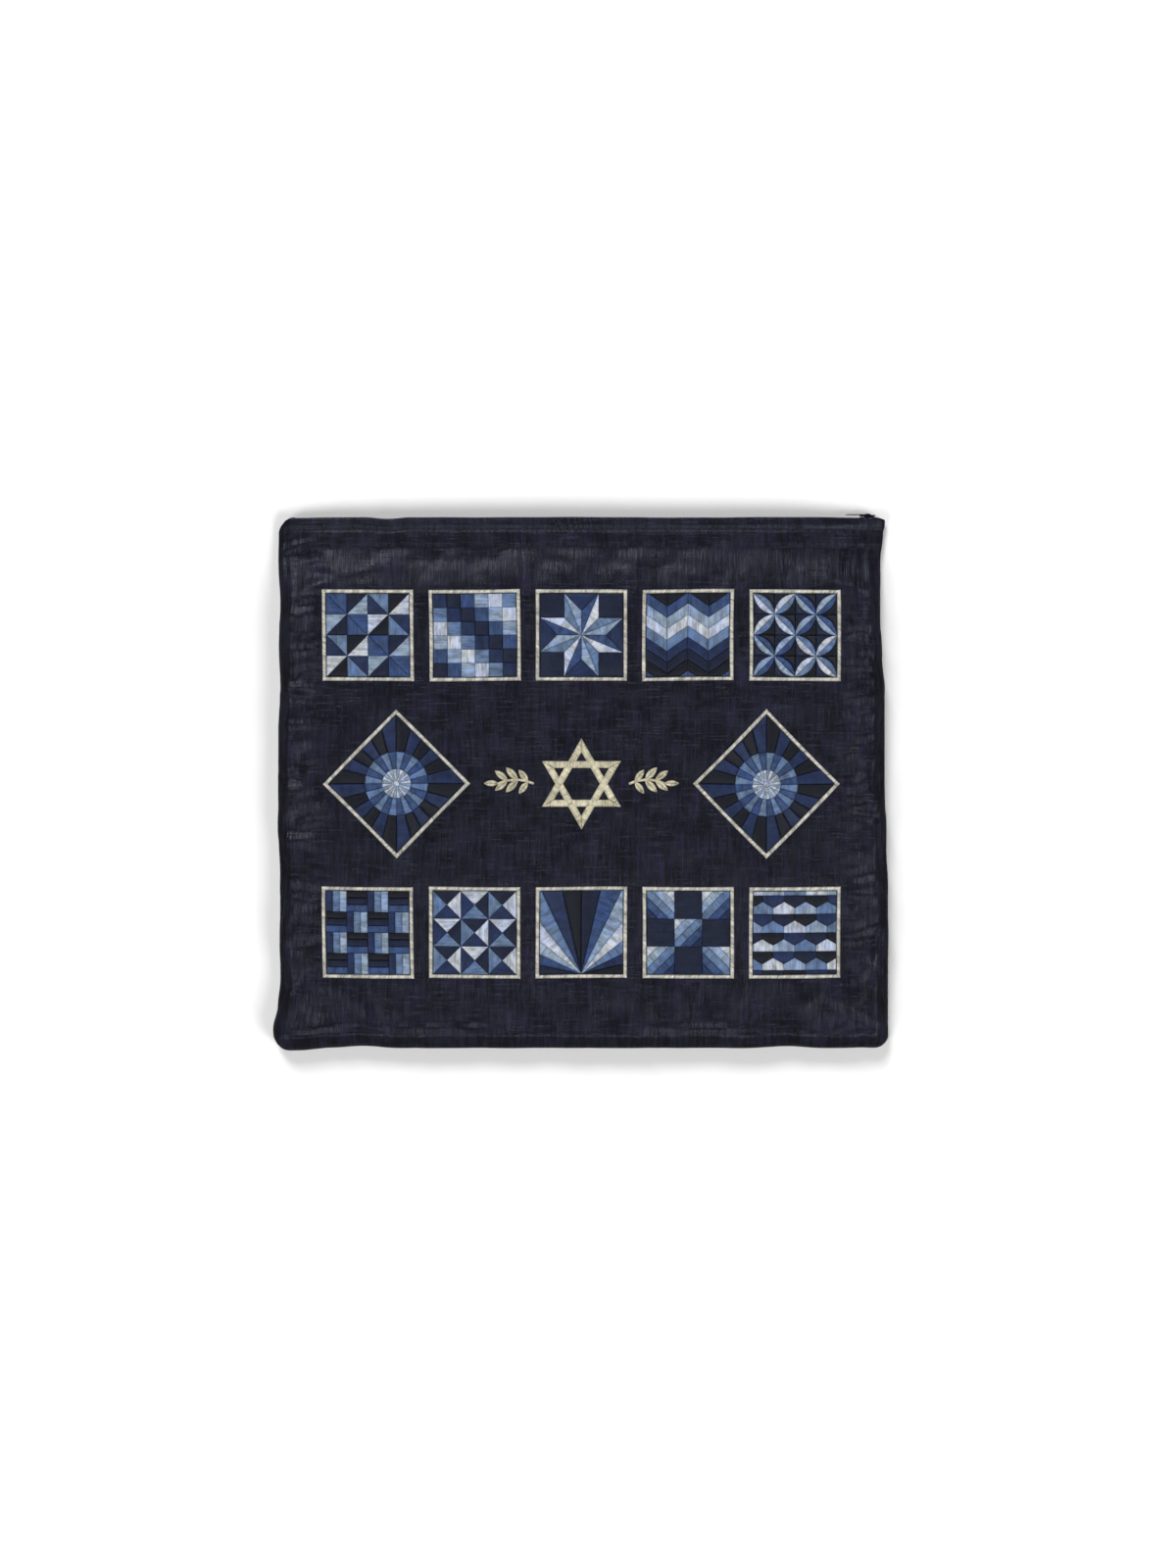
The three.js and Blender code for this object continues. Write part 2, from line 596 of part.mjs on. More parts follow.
const bag = new THREE.Group();
bag.add(mesh("front_panel", frontPanel(), CLOTH));
bag.add(mesh("back_panel", backPanel(), CLOTH));
const frontLines = gridLines(FRONT_GRID.across, FRONT_GRID.crowding);
const backLines = gridLines(BACK_GRID.across, BACK_GRID.crowding);
bag.add(mesh("zip_tape_front", zipTape(frontPoint, FRONT_WALL, 1, frontLines), ZIP_TAPE));
bag.add(mesh("zip_tape_back", zipTape(backPoint, BACK_WALL, -1, backLines), ZIP_TAPE));
bag.add(mesh("zip_slider", zipSlider(), ZIP_METAL));
patches().forEach(({ name, centre, turn, size }) => {
  bag.add(mesh(`border_${name}`, border(centre, turn, size), BORDER_THREAD));
  bag.add(mesh(`field_${name}`, field(centre, turn, size), FIELD_THREAD));
});
bag.add(mesh("star", star(), ORNAMENT_THREAD));
bag.add(mesh("sprig_left", sprig(-1), ORNAMENT_THREAD));
bag.add(mesh("sprig_right", sprig(1), ORNAMENT_THREAD));

// The origin goes to the centre of the footprint, which the wandering edges shift a little.
const extent = new THREE.Box3().setFromObject(bag);
const footprint = extent.getCenter(new THREE.Vector3());
bag.position.set(-footprint.x, -footprint.y, -extent.min.z);

export default bag;
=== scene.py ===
"""A flat zipped bag for a prayer shawl, in navy slub silk with satin-stitch embroidery.

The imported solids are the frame. Every piece here takes its place from them and from the sizes in the
property groups: two silk panels and their linings, the embroidery stitched into the front one, the
stitching of the hems, the zip, and the stage. Lengths are in metres, and +Z is up, out of the front.
"""

import json
import math

import bmesh
import bpy
import numpy as np
from bpy.props import FloatProperty, FloatVectorProperty, IntProperty, PointerProperty
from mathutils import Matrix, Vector

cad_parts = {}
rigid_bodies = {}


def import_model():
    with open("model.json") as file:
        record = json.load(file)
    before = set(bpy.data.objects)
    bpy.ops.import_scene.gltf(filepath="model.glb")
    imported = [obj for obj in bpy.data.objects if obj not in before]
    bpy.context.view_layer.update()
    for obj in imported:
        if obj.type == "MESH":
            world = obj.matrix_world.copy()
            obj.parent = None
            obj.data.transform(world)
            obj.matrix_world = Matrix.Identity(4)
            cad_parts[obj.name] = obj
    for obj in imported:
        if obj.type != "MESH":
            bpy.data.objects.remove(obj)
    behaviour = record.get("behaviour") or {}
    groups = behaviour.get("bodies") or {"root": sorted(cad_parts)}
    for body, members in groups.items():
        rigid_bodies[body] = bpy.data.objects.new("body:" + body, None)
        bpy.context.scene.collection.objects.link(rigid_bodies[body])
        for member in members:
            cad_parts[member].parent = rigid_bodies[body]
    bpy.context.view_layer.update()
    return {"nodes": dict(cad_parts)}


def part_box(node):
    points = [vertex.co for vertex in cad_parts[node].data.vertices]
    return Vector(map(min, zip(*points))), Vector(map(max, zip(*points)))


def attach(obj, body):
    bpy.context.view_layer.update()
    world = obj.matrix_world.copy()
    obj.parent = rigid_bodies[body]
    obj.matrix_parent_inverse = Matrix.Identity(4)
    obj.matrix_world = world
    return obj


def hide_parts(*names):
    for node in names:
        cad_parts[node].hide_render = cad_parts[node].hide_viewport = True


bl_info = {
    "name": "Prayer shawl bag",
    "version": (1, 0, 0),
    "blender": (4, 5, 0),
    "location": "3D View > Sidebar > Bag",
    "description": "Dresses the bag's solids in silk, embroidery and a zip",
    "category": "Object",
}

for leftover in list(bpy.data.objects):
    bpy.data.objects.remove(leftover)
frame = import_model()

MM = 0.001
PIXEL = 0.5806 * MM  # what one pixel of the photograph spans at the bag
BODY = "root"

# Wandering of each seam from straight: how far along it, from the bottom or from the left, and how
# far outward, as a share of the drift.
LEFT_DRIFT = (
    (0, 0.6), (0.04, 1), (0.08, 0.15), (0.13, -0.35), (0.32, -0.35), (0.42, 0),
    (0.6, 0), (0.68, -0.4), (0.76, -0.1), (0.84, -0.35), (0.92, 0), (1, 0),
)
RIGHT_DRIFT = (
    (0, 0.7), (0.3, 0.6), (0.4, 0.25), (0.5, 0), (0.68, 0), (0.74, -0.5),
    (0.81, -0.8), (0.92, -0.75), (0.975, -0.2), (0.988, 0.1), (1, 0.2),
)
TOP_DRIFT = ((0, 0), (0.14, 0), (0.18, -0.35), (0.22, 0), (0.95, 0), (1, 0.12))
BOTTOM_DRIFT = (
    (0, 0.6), (0.04, 0.5), (0.09, 0), (0.14, -0.35), (0.2, 0), (0.76, 0), (0.84, -0.3), (0.9, 0), (1, 0),
)

# Broad folds of the front's margin: centre as shares of the half width and half height, turn in
# degrees, and length, width and height as shares of the fold sizes. A negative height is a dent.
FOLDS = (
    (-0.93, 0.83, -8, 1.1, 1.1, 1.0), (-0.83, 0.93, 24, 0.7, 0.9, 0.8), (-0.95, 0.67, 4, 0.8, 1.2, -0.8),
    (-0.94, 0.5, 2, 0.8, 0.9, 0.7), (-0.93, 0.36, -4, 0.9, 1.0, 1.0), (-0.95, 0.22, 0, 0.7, 0.9, 0.6),
    (-0.94, -0.18, 6, 0.8, 1.2, -0.6), (-0.9, -0.72, 32, 1.1, 1.3, -0.7), (0.94, 0.57, 2, 0.8, 1.0, -1.0),
    (0.93, 0.42, -3, 0.8, 0.9, -0.7), (0.94, 0.26, 5, 0.7, 1.0, 0.6), (0.94, -0.12, -4, 0.8, 1.1, -0.6),
    (0.93, -0.42, 3, 0.7, 1.0, 0.6), (0.9, -0.89, -28, 1.0, 1.2, -0.9), (0.9, 0.76, 24, 1.0, 1.2, 0.8),
    (-0.5, -0.92, 0, 2.2, 0.9, 0.6), (0.42, -0.92, 0, 2.6, 0.9, 0.6),
)


def linear(code):
    """Linear colour of a six-digit sRGB code."""
    shares = [int(code[i:i + 2], 16) / 255 for i in (0, 2, 4)]
    return tuple(s / 12.92 if s <= 0.04045 else ((s + 0.055) / 1.055) ** 2.4 for s in shares)


def amount(name, description, default):
    return FloatProperty(name=name, description=description, default=default)


def whole(name, description, default):
    return IntProperty(name=name, description=description, default=default)


def length(name, description, default):
    """A length property, in metres."""
    return FloatProperty(name=name, description=description, default=default, unit="LENGTH", precision=5)


def colour(name, description, code):
    """A colour property, whose default is an sRGB code."""
    return FloatVectorProperty(
        name=name, description=description, default=linear(code), subtype="COLOR", min=0, max=1
    )


class BagForm(bpy.types.PropertyGroup):
    """Sizes of the cloth body. They are the solids' own, but for the squarer top right corner."""

    width: length("Width", "Side seam to side seam", 360 * MM)
    height: length("Height", "Bottom seam to the edge of the mouth", 313.5 * MM)
    thickness: length("Thickness", "Table to the top of the front", 22 * MM)
    crown_fall: length("Crown fall", "How much lower the front is where its edges start to round", 3.5 * MM)
    wall: length("Wall", "Silk, batting and lining together", 1.6 * MM)
    seam_height: length("Seam height", "Seam above the table, half-way along a side", 7.5 * MM)
    corner_height: length("Corner height", "Seam above the table at a corner", 3.6 * MM)
    edge_roll: length("Edge roll", "Reach of the rounding beside a seam", 11 * MM)
    drift: length("Drift", "The most that a seam wanders from its straight line", 3.2 * MM)
    flare_reach: amount("Flare reach", "Share of the half width in which the wandering fades out", 0.2)
    mouth_height: length("Mouth height", "Table to the top of the front lip", 17 * MM)
    mouth_fall: length("Mouth fall", "How much lower the lip is at its ends", 1.5 * MM)
    mouth_arch: length("Mouth arch", "Reach of the lip's arch from each side seam", 90 * MM)
    lip_slope: length("Lip slope", "Length over which the front falls to its lip", 33 * MM)
    lip_depth: length("Lip depth", "Width of the lip that the zip tape keeps level", 14.9 * MM)
    top_left: length("Top left corner", "Radius", 8 * MM)
    top_right: length("Top right corner", "Radius", 1.2 * MM)
    bottom_left: length("Bottom left corner", "Radius", 9 * MM)
    bottom_right: length("Bottom right corner", "Radius", 8 * MM)


class ClothLook(bpy.types.PropertyGroup):
    """How the silk creases and what colour it is."""

    cell: length("Cell", "Size of a face on the front, away from its edges", 1.4 * MM)
    back_cell: length("Back cell", "Size of a face on the back and the linings", 3 * MM)
    fold_length: length("Fold length", "Length of a broad fold", 34 * MM)
    fold_width: length("Fold width", "Width of a broad fold", 5.6 * MM)
    fold_depth: length("Fold depth", "Height of a broad fold", 1.4 * MM)
    pucker_pitch: length("Pucker pitch", "Seam length for each small crease", 8 * MM)
    pucker_depth: length("Pucker depth", "Usual height of a small crease", 0.55 * MM)
    pucker_reach: length("Pucker reach", "Usual distance of a small crease's crest from the seam", 6 * MM)
    allowance: length("Seam allowance", "Seam to the ridge of the allowance turned inside", 8 * MM)
    allowance_rise: length("Allowance rise", "Height of that ridge", 0.7 * MM)
    hem: length("Hem", "Mouth's edge to its row of stitches", 6 * MM)
    hem_dip: length("Hem dip", "Depth to which the stitches pull the silk", 0.5 * MM)
    wave_height: length("Wave height", "Height of the slow waves in the margins", 0.35 * MM)
    draw_depth: length("Draw depth", "Depth to which the embroidery pulls the silk round it", 0.22 * MM)
    spare: amount("Spare silk", "Share by which silk is longer than its seam", 0.05)
    settling_cell: length("Settling cell", "Size of a face of the simulated silk", 3 * MM)
    settling_frames: whole("Settling frames", "Frames that the silk has to settle", 24)
    seed: whole("Seed", "Seed of the creases", 11)
    silk: colour("Silk", "Ground colour of the silk", "03030a")
    slub: colour("Slub", "Colour of its thicker, shinier yarns", "1e2133")
    shot: colour("Shot", "The same yarns where they turn violet", "26203c")
    lining: colour("Lining", "Colour of the satin lining", "26283c")


class StitchLook(bpy.types.PropertyGroup):
    """Sizes and colours of the embroidery."""

    slice: length("Slice", "Distance between two rows of a stitched shape's points", 1.6 * MM)
    top: length("Height", "Height of stitching over the silk", 0.85 * MM)
    sink: length("Sink", "Depth at which threads enter the silk", 0.12 * MM)
    round_reach: length("Rounding", "Reach of the rounding at a stitched shape's edges", 0.9 * MM)
    border_width: length("Border width", "Width of a patch's border", 2.2 * MM)
    border_top: length("Border height", "Height of a patch's border", 1.35 * MM)
    border_pitch: length("Border pitch", "Length of one ridge of a border", 1.3 * MM)
    band: length("Star band", "Width of each band of the star", 4.2 * MM)
    band_top: length("Star height", "Height of a band of the star", 1.15 * MM)
    weave: length("Star weave", "How far a band of the star rises over another", 0.4 * MM)
    thread: length("Thread", "Width of one thread", 0.42 * MM)
    seed: whole("Seed", "Seed of the stitching's small differences", 5)
    ink: colour("Ink", "Darkest thread", "080b16")
    navy: colour("Navy", "Dark blue thread", "10182f")
    deep: colour("Deep blue", "Blue thread", "1b294a")
    middle: colour("Middle blue", "Medium blue thread", "34496f")
    steel: colour("Steel blue", "Light grey-blue thread", "627895")
    mist: colour("Mist", "Pale grey-blue thread", "8fa0b3")
    silver: colour("Silver", "Palest thread", "c0c5cb")
    border: colour("Border thread", "Pale metallic thread of the borders", "d0cdc2")
    gold: colour("Gold thread", "Pale gold thread of the star and sprigs", "d2cbb0")


class ZipLook(bpy.types.PropertyGroup):
    """Sizes and colours of the zip."""

    gap: length("Gap", "Tape to the lip that carries it", 0.3 * MM)
    tape_width: length("Tape width", "Width of each tape", 14 * MM)
    tape_thickness: length("Tape thickness", "Thickness of each tape", 0.6 * MM)
    setback: length("Setback", "Coil behind the lip's edge", 0.9 * MM)
    end_inset: length("End inset", "Tape's end to the side seam", 9 * MM)
    coil_width: length("Coil width", "Width of the coil", 2.4 * MM)
    coil_height: length("Coil height", "Height of the coil with its tape", 1.7 * MM)
    coil_pitch: length("Coil pitch", "Length of one turn of the coil", 1.5 * MM)
    wire: length("Wire", "Thickness of the coil's wire", 0.55 * MM)
    tape: colour("Tape", "Colour of the tape", "14141c")
    coil: colour("Coil", "Colour of the nylon coil", "1c1c26")
    metal: colour("Slider", "Colour of the slider's enamel", "26262c")


class StageLook(bpy.types.PropertyGroup):
    """Floor, lights and camera."""

    floor: colour("Floor", "Colour of the floor", "fafafa")
    lens: amount("Lens", "Focal length in millimetres", 85)
    picture_height: length("Picture height", "Height of the picture at the bag", 1600 * PIXEL)
    offset_right: length("Offset right", "Camera to the right of the bag's middle", 7.5 * PIXEL)
    offset_down: length("Offset down", "Camera below the bag's middle", 2 * PIXEL)
    key: amount("Key light", "Strength in watts per square metre", 1.95)
    fill: amount("Fill light", "Strength in watts per square metre", 1.4)
    sky: amount("Sky", "Strength of the even light from overhead", 0.15)
    walls: amount("Walls", "Strength of the even light from the sides", 0.5)
    horizon: amount("Horizon", "Strength of the light where walls meet floor", 1.0)
    below: amount("Below", "Strength of the even light from below the floor", 0.15)


def smooth(x, low, high):
    """Eased share of the way from low to high, from 0 to 1."""
    t = np.clip((x - low) / (high - low), 0, 1)
    return t * t * (3 - 2 * t)


def mix(a, b, share):
    return a + (b - a) * share


def bell(offset, width):
    """Bell curve: 1 where the offset is nothing, and about a third at the width."""
    return np.exp(-(offset / width) ** 2)


def roll(distance, reach):
    """Quarter-circle rise from 0 at an edge to 1 at `reach` from it."""
    return np.sqrt(1 - (1 - np.clip(distance / reach, 0, 1)) ** 2)


def unit(vectors):
    return vectors / np.linalg.norm(vectors, axis=-1, keepdims=True)


def paired(a, b):
    """Points or UVs from two arrays of coordinates that broadcast."""
    return np.stack(np.broadcast_arrays(a, b), -1)


def ring_point(radius, angle):
    """The point of a circle at an angle in radians."""
    return radius * math.cos(angle), radius * math.sin(angle)


def turned(outline, x, y, degrees):
    """The outline turned about the origin, then moved."""
    cosine, sine = ring_point(1, math.radians(degrees))
    return [(x + a * cosine - b * sine, y + a * sine + b * cosine) for a, b in outline]


def run_of(path):
    """Length along a path up to each of its points."""
    return np.concatenate(((0,), np.cumsum(np.linalg.norm(np.diff(path, axis=0), axis=-1))))


def drift_at(rows, along):
    """Outward drift at a share of a seam's length, eased between the rows of its table."""
    places, outs = (np.array(column, float) for column in zip(*rows))
    i = np.clip(np.searchsorted(places, along, side="right") - 1, 0, len(rows) - 2)
    return mix(outs[i], outs[i + 1], smooth(along, places[i], places[i + 1]))


class Body:
    """The bag's faces as functions of u, across it, and v, up it to the mouth, each from -1 to 1."""

    SEAM_GAP = 0.04 * MM
    LEAST_CORNER = 1 / 3
    EDGE_POINTS = 400
    PLACE_STEPS = 10

    def __init__(self, form):
        self.form = form
        self.half_width = form.width / 2
        self.half_height = form.height / 2
        self.lip_level = self.behind_mouth(form.lip_depth)
        self.lip_start = self.lip_level - 2 * form.lip_slope / form.height
        edge = np.linspace(-1, 1, self.EDGE_POINTS)
        lines = [line for end in (-1, 1) for line in ((end, edge), (edge, end))]
        outline = np.concatenate([np.stack(self.plan(u, v, 0), -1) for u, v in lines])
        left, right = outline[:, 0].min(), outline[:, 0].max()
        low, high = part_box("front_panel")
        self.shift = np.array(((low.x + high.x - left - right) / 2, low.y - outline[:, 1].min()))

    def plan(self, u, v, inset):
        """Plan position before the shift to the footprint's middle."""
        form = self.form
        u, v = np.broadcast_arrays(np.asarray(u, float), np.asarray(v, float))
        half_width = self.half_width - inset
        top, bottom = self.half_height, self.half_height - inset
        x = u * half_width
        y = mix(-bottom, top, (v + 1) / 2)
        upper = np.where(u > 0, form.top_right, form.top_left)
        lower = np.where(u > 0, form.bottom_right, form.bottom_left)
        full = np.where(v > 0, upper, lower)
        radius = np.maximum(full - inset, full * self.LEAST_CORNER)
        into_x = np.clip((abs(x) - half_width) / radius + 1, 0, 1)
        into_y = np.clip((abs(y) - np.where(v > 0, top, bottom)) / radius + 1, 0, 1)
        x = x + np.sign(u) * radius * into_x * (np.sqrt(1 - into_y ** 2 / 2) - 1)
        y = y + np.sign(v) * radius * into_y * (np.sqrt(1 - into_x ** 2 / 2) - 1)
        sideways = smooth(abs(u), 1 - form.flare_reach, 1) * form.drift
        lengthways = smooth(abs(v), 1 - form.flare_reach, 1) * form.drift
        along_side, along_end = (v + 1) / 2, (u + 1) / 2
        side = np.where(u > 0, drift_at(RIGHT_DRIFT, along_side), drift_at(LEFT_DRIFT, along_side))
        end = np.where(v > 0, drift_at(TOP_DRIFT, along_end), drift_at(BOTTOM_DRIFT, along_end))
        return x + np.sign(u) * sideways * side, y + np.sign(v) * lengthways * end

    def point(self, u, v, inset, z):
        x, y = self.plan(u, v, inset)
        return np.stack((x + self.shift[0], y + self.shift[1], z), -1)

    def seam(self, u, v):
        cornered = smooth(abs(u), 0.5, 1) * smooth(abs(v), 0.5, 1)
        return mix(self.form.seam_height, self.form.corner_height, cornered)

    def from_side(self, u, inset=0):
        return (self.half_width - inset) * (1 - abs(u))

    def from_bottom(self, v, inset=0):
        return (self.half_height - inset / 2) * (1 + v)

    def from_mouth(self, v):
        return self.half_height * (1 - v)

    def behind_mouth(self, distance):
        """The v that lies this far back from the mouth's edge."""
        return 1 - 2 * distance / self.form.height

    def from_seams(self, u, v):
        return np.minimum(self.from_side(u), self.from_bottom(v))

    def front(self, u, v, inset=0):
        """A point of the front panel: its outer face, or the face that lies `inset` inside it."""
        form = self.form
        to_mouth = smooth(v, self.lip_start, self.lip_level)
        crown = form.thickness - form.crown_fall * (u ** 2 + np.minimum(v, 0) ** 2) / 2
        lip = form.mouth_height - form.mouth_fall * u ** 2
        reach = mix(form.edge_roll, form.mouth_arch, to_mouth)
        rise = roll(self.from_side(u, inset), reach) * roll(self.from_bottom(v, inset), form.edge_roll)
        seam = self.seam(u, v) + self.SEAM_GAP / 2
        return self.point(u, v, inset, mix(seam, mix(crown, lip, to_mouth) - inset, rise))

    def back(self, u, v, inset=0):
        """A point of the back panel, which lies on the table."""
        roll_reach = self.form.edge_roll
        rise = roll(self.from_side(u, inset), roll_reach) * roll(self.from_bottom(v, inset), roll_reach)
        seam = self.seam(u, v) - self.SEAM_GAP / 2
        return self.point(u, v, inset, mix(seam, inset, rise))

    def place(self, x, y):
        """The (u, v) of a plan position on the outer face."""
        x, y = x - self.shift[0], y - self.shift[1]
        u, v = x / self.half_width, y / self.half_height
        for _ in range(self.PLACE_STEPS):
            at_x, at_y = self.plan(u, v, 0)
            u = np.clip(u + (x - at_x) / self.half_width, -1, 1)
            v = np.clip(v + (y - at_y) / self.half_height, -1, 1)
        return u, v


class Patch:
    """Where one framed patch lies: its middle, half size inside and outside its border, and turn."""

    PULL = 0.35 * MM
    BOW = 18 * MM

    def __init__(self, name):
        self.name = name
        self.pulls = np.random.default_rng(sum(name.encode())).uniform(-1, 1, 4) * self.PULL
        low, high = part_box(f"border_{name}")
        self.middle = np.array(((low.x + high.x) / 2, (low.y + high.y) / 2))
        self.turn = math.pi / 4 if name in ("left", "right") else 0.0
        self.cosine, self.sine = ring_point(1, self.turn)
        shrink = math.sqrt(2) if self.turn else 1
        self.outer = (high.x - low.x) / 2 / shrink
        low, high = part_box(f"field_{name}")
        self.inner = (high.x - low.x) / 2 / shrink

    def local(self, x, y):
        dx, dy = x - self.middle[0], y - self.middle[1]
        return dx * self.cosine + dy * self.sine, dy * self.cosine - dx * self.sine

    def world(self, a, b):
        """The plan position of a point of the patch, whose stitching pulls it a little out of square."""
        lean_a, lean_b, bow_a, bow_b = self.pulls
        a, b = (
            a + lean_a * b / self.outer + bow_a * np.cos(b / self.BOW),
            b + lean_b * a / self.outer + bow_b * np.cos(a / self.BOW),
        )
        x, y = a * self.cosine - b * self.sine, a * self.sine + b * self.cosine
        return self.middle[0] + x, self.middle[1] + y


PATCHES = [Patch(node[len("border_"):]) for node in sorted(frame["nodes"]) if node.startswith("border_")]
DESIGN_HALF = [max(patch.middle[k] + patch.outer for patch in PATCHES if not patch.turn) for k in (0, 1)]


def outside_design(x, y):
    """Distance outward from the oblong that the patches fill, negative inside it."""
    return np.maximum(abs(x) - DESIGN_HALF[0], abs(y) - DESIGN_HALF[1])


class Creases:
    """Heights that folds, puckers, hems and stitching add to the silk, along its normal."""

    FADE = 12 * MM
    SEWN = 3 * MM
    RIDGE_WIDTH = 1.6 * MM

    # What each small crease is drawn from: its place in its stretch of seam, its width and reach as
    # shares of the pitch and the usual reach, and how far it leans. Then by what share it widens over its
    # reach, how steeply it falls off across, and after how many reaches its height counts as nothing.
    PUCKER_PLACES = (0.15, 0.85)
    PUCKER_WIDTHS = (0.2, 0.42)
    PUCKER_REACHES = (0.5, 1.9)
    PUCKER_LEANS = (-0.45, 0.45)
    PUCKER_SPREAD = 0.4
    PUCKER_FALL = 1.6
    PUCKER_END = 6

    # Slow waves: how many, their lengths on the front and the back, and their share within the design.
    WAVES = 9
    FRONT_WAVE = 90 * MM
    BACK_WAVE = 120 * MM
    CALM = 0.25

    # The hem: its step and where that eases off beside the turned edge, the width of its stitches'
    # dip, and the swell between them and the mouth. The back is pressed to a share of it, and comes to
    # lie flat over these shares of its edge roll.
    HEM_STEP = 0.3 * MM
    HEM_EASE = (-1 * MM, 1.5 * MM)
    DIP_WIDTH = 1.3 * MM
    SWELL = 0.25 * MM
    SWELL_WIDTH = 1.8 * MM
    PRESSED = 0.3
    LIFTED = (0.75, 1.5)

    # The silk round a border: from where to where it is pulled, the two lengths and the share of its
    # gathers, and the widths in which the dip and the gathers fade.
    PULLED = (-3 * MM, 16 * MM)
    GATHERS = (0.9 * MM, 2.3 * MM)
    GATHER_SHARE = 0.7
    DRAW_FADE = 2.2 * MM
    GATHER_FADE = 3.5 * MM

    def __init__(self, body, look):
        self.body = body
        self.look = look
        self.draws = np.random.default_rng(look.seed)
        form = body.form
        self.side_puckers = [self.pucker_rows(form.height) for _ in range(4)]
        self.bottom_puckers = [self.pucker_rows(form.width) for _ in range(2)]
        self.waves = self.draws.normal(size=(self.WAVES, 2))
        self.phases = self.draws.uniform(0, 2 * math.pi, self.WAVES)

    def pucker_rows(self, seam_length):
        look, draws = self.look, self.draws
        number = round(seam_length / look.pucker_pitch)
        even = (np.arange(number) + draws.uniform(*self.PUCKER_PLACES, number)) / number
        return np.stack((
            (even - 0.5) * seam_length,
            look.pucker_depth * draws.normal(0, 1, number),
            look.pucker_pitch * draws.uniform(*self.PUCKER_WIDTHS, number),
            look.pucker_reach * draws.uniform(*self.PUCKER_REACHES, number),
            draws.uniform(*self.PUCKER_LEANS, number),
        ), -1)

    def puckers(self, rows, along, distance):
        """Short creases that run inward from a seam and crest at their reach."""
        total = np.zeros_like(along)
        for place, high, wide, reach, lean in rows:
            near = distance < reach * self.PUCKER_END
            inward = distance[near] / reach
            offset = along[near] - place - lean * distance[near]
            across = offset / (wide * (1 + self.PUCKER_SPREAD * inward))
            total[near] += high * np.exp(-abs(across) ** self.PUCKER_FALL) * inward * np.exp(1 - inward)
        return total

    def slow_waves(self, x, y, wavelength):
        total = np.zeros_like(x)
        for (kx, ky), phase in zip(self.waves, self.phases):
            total += np.sin((kx * x + ky * y) * 2 * math.pi / wavelength + phase)
        return total / math.sqrt(self.WAVES)

    def folds(self, x, y):
        look, body = self.look, self.body
        total = np.zeros_like(x)
        for across, up, turn, long, wide, high in FOLDS:
            cosine, sine = ring_point(1, math.radians(turn))
            dx, dy = x - across * body.half_width, y - up * body.half_height
            a = (dx * cosine + dy * sine) / (long * look.fold_length / 2)
            b = (dy * cosine - dx * sine) / (wide * look.fold_width / 2)
            total += high * np.exp(-a ** 2 - b ** 2)
        return total * look.fold_depth

    def seams(self, u, v, sides, bottom):
        """Puckers and the ridge of the allowance, beside the side seams and the bottom seam."""
        body, look = self.body, self.look
        along_side, along_end = v * body.half_height, u * body.half_width
        from_side, from_bottom = body.from_side(u), body.from_bottom(v)
        total = np.where(u < 0, self.puckers(sides[0], along_side, from_side), 0)
        total += np.where(u > 0, self.puckers(sides[1], along_side, from_side), 0)
        total += self.puckers(bottom, along_end, from_bottom)
        ridge = bell(np.minimum(from_side, from_bottom) - look.allowance, self.RIDGE_WIDTH)
        return total + ridge * look.allowance_rise

    def hem(self, v):
        """The turned-in hem's step and the dip of its row of stitches."""
        look, distance = self.look, self.body.from_mouth(v)
        step = 1 - smooth(distance - self.body.form.lip_depth, *self.HEM_EASE)
        dip = bell(distance - look.hem, self.DIP_WIDTH)
        swell = bell(distance - look.hem / 2, self.SWELL_WIDTH)
        return self.HEM_STEP * step + self.SWELL * swell - look.hem_dip * dip

    def drawn_in(self, x, y):
        """The dip and small gathers round each border, where dense stitches pull the silk."""
        total = np.zeros_like(x)
        for k, patch in enumerate(PATCHES):
            a, b = patch.local(x, y)
            beyond = np.maximum(abs(a), abs(b)) - patch.outer
            near = (beyond > self.PULLED[0]) & (beyond < self.PULLED[1])
            a, b, beyond = a[near], b[near], np.maximum(beyond[near], 0)
            along = np.where(abs(a) > abs(b), b, a)
            gathers = np.sin(along / self.GATHERS[0] + k) * np.sin(along / self.GATHERS[1] + 2.1 * k)
            fading = self.GATHER_SHARE * np.exp(-beyond / self.GATHER_FADE)
            total[near] += self.look.draw_depth * (gathers * fading - bell(beyond, self.DRAW_FADE))
        return total

    def front(self, u, v):
        body, look = self.body, self.look
        x, y = u * body.half_width, v * body.half_height
        margin = smooth(outside_design(x, y), 0, self.FADE)
        loose = 1 - smooth(v, body.lip_start, body.lip_level)
        total = margin * loose * self.folds(x, y)
        total += self.seams(u, v, self.side_puckers[:2], self.bottom_puckers[0])
        total += self.slow_waves(x, y, self.FRONT_WAVE) * look.wave_height * mix(self.CALM, 1, margin)
        total += self.hem(v) + self.drawn_in(x + body.shift[0], y + body.shift[1])
        return total * smooth(body.from_seams(u, v), 0, self.SEWN)

    def back(self, u, v):
        """As on the front, but pressed flat where the bag lies on the table."""
        body, look = self.body, self.look
        x, y = u * body.half_width, v * body.half_height
        held = body.from_seams(u, v)
        total = self.seams(u, v, self.side_puckers[2:], self.bottom_puckers[1])
        raised = 1 - smooth(held / body.form.edge_roll, *self.LIFTED)
        total = total * raised * smooth(held, 0, self.SEWN)
        inward = abs(self.slow_waves(x, y, self.BACK_WAVE)) * look.wave_height
        return total - inward * (1 - raised) - np.maximum(self.hem(v), 0) * self.PRESSED


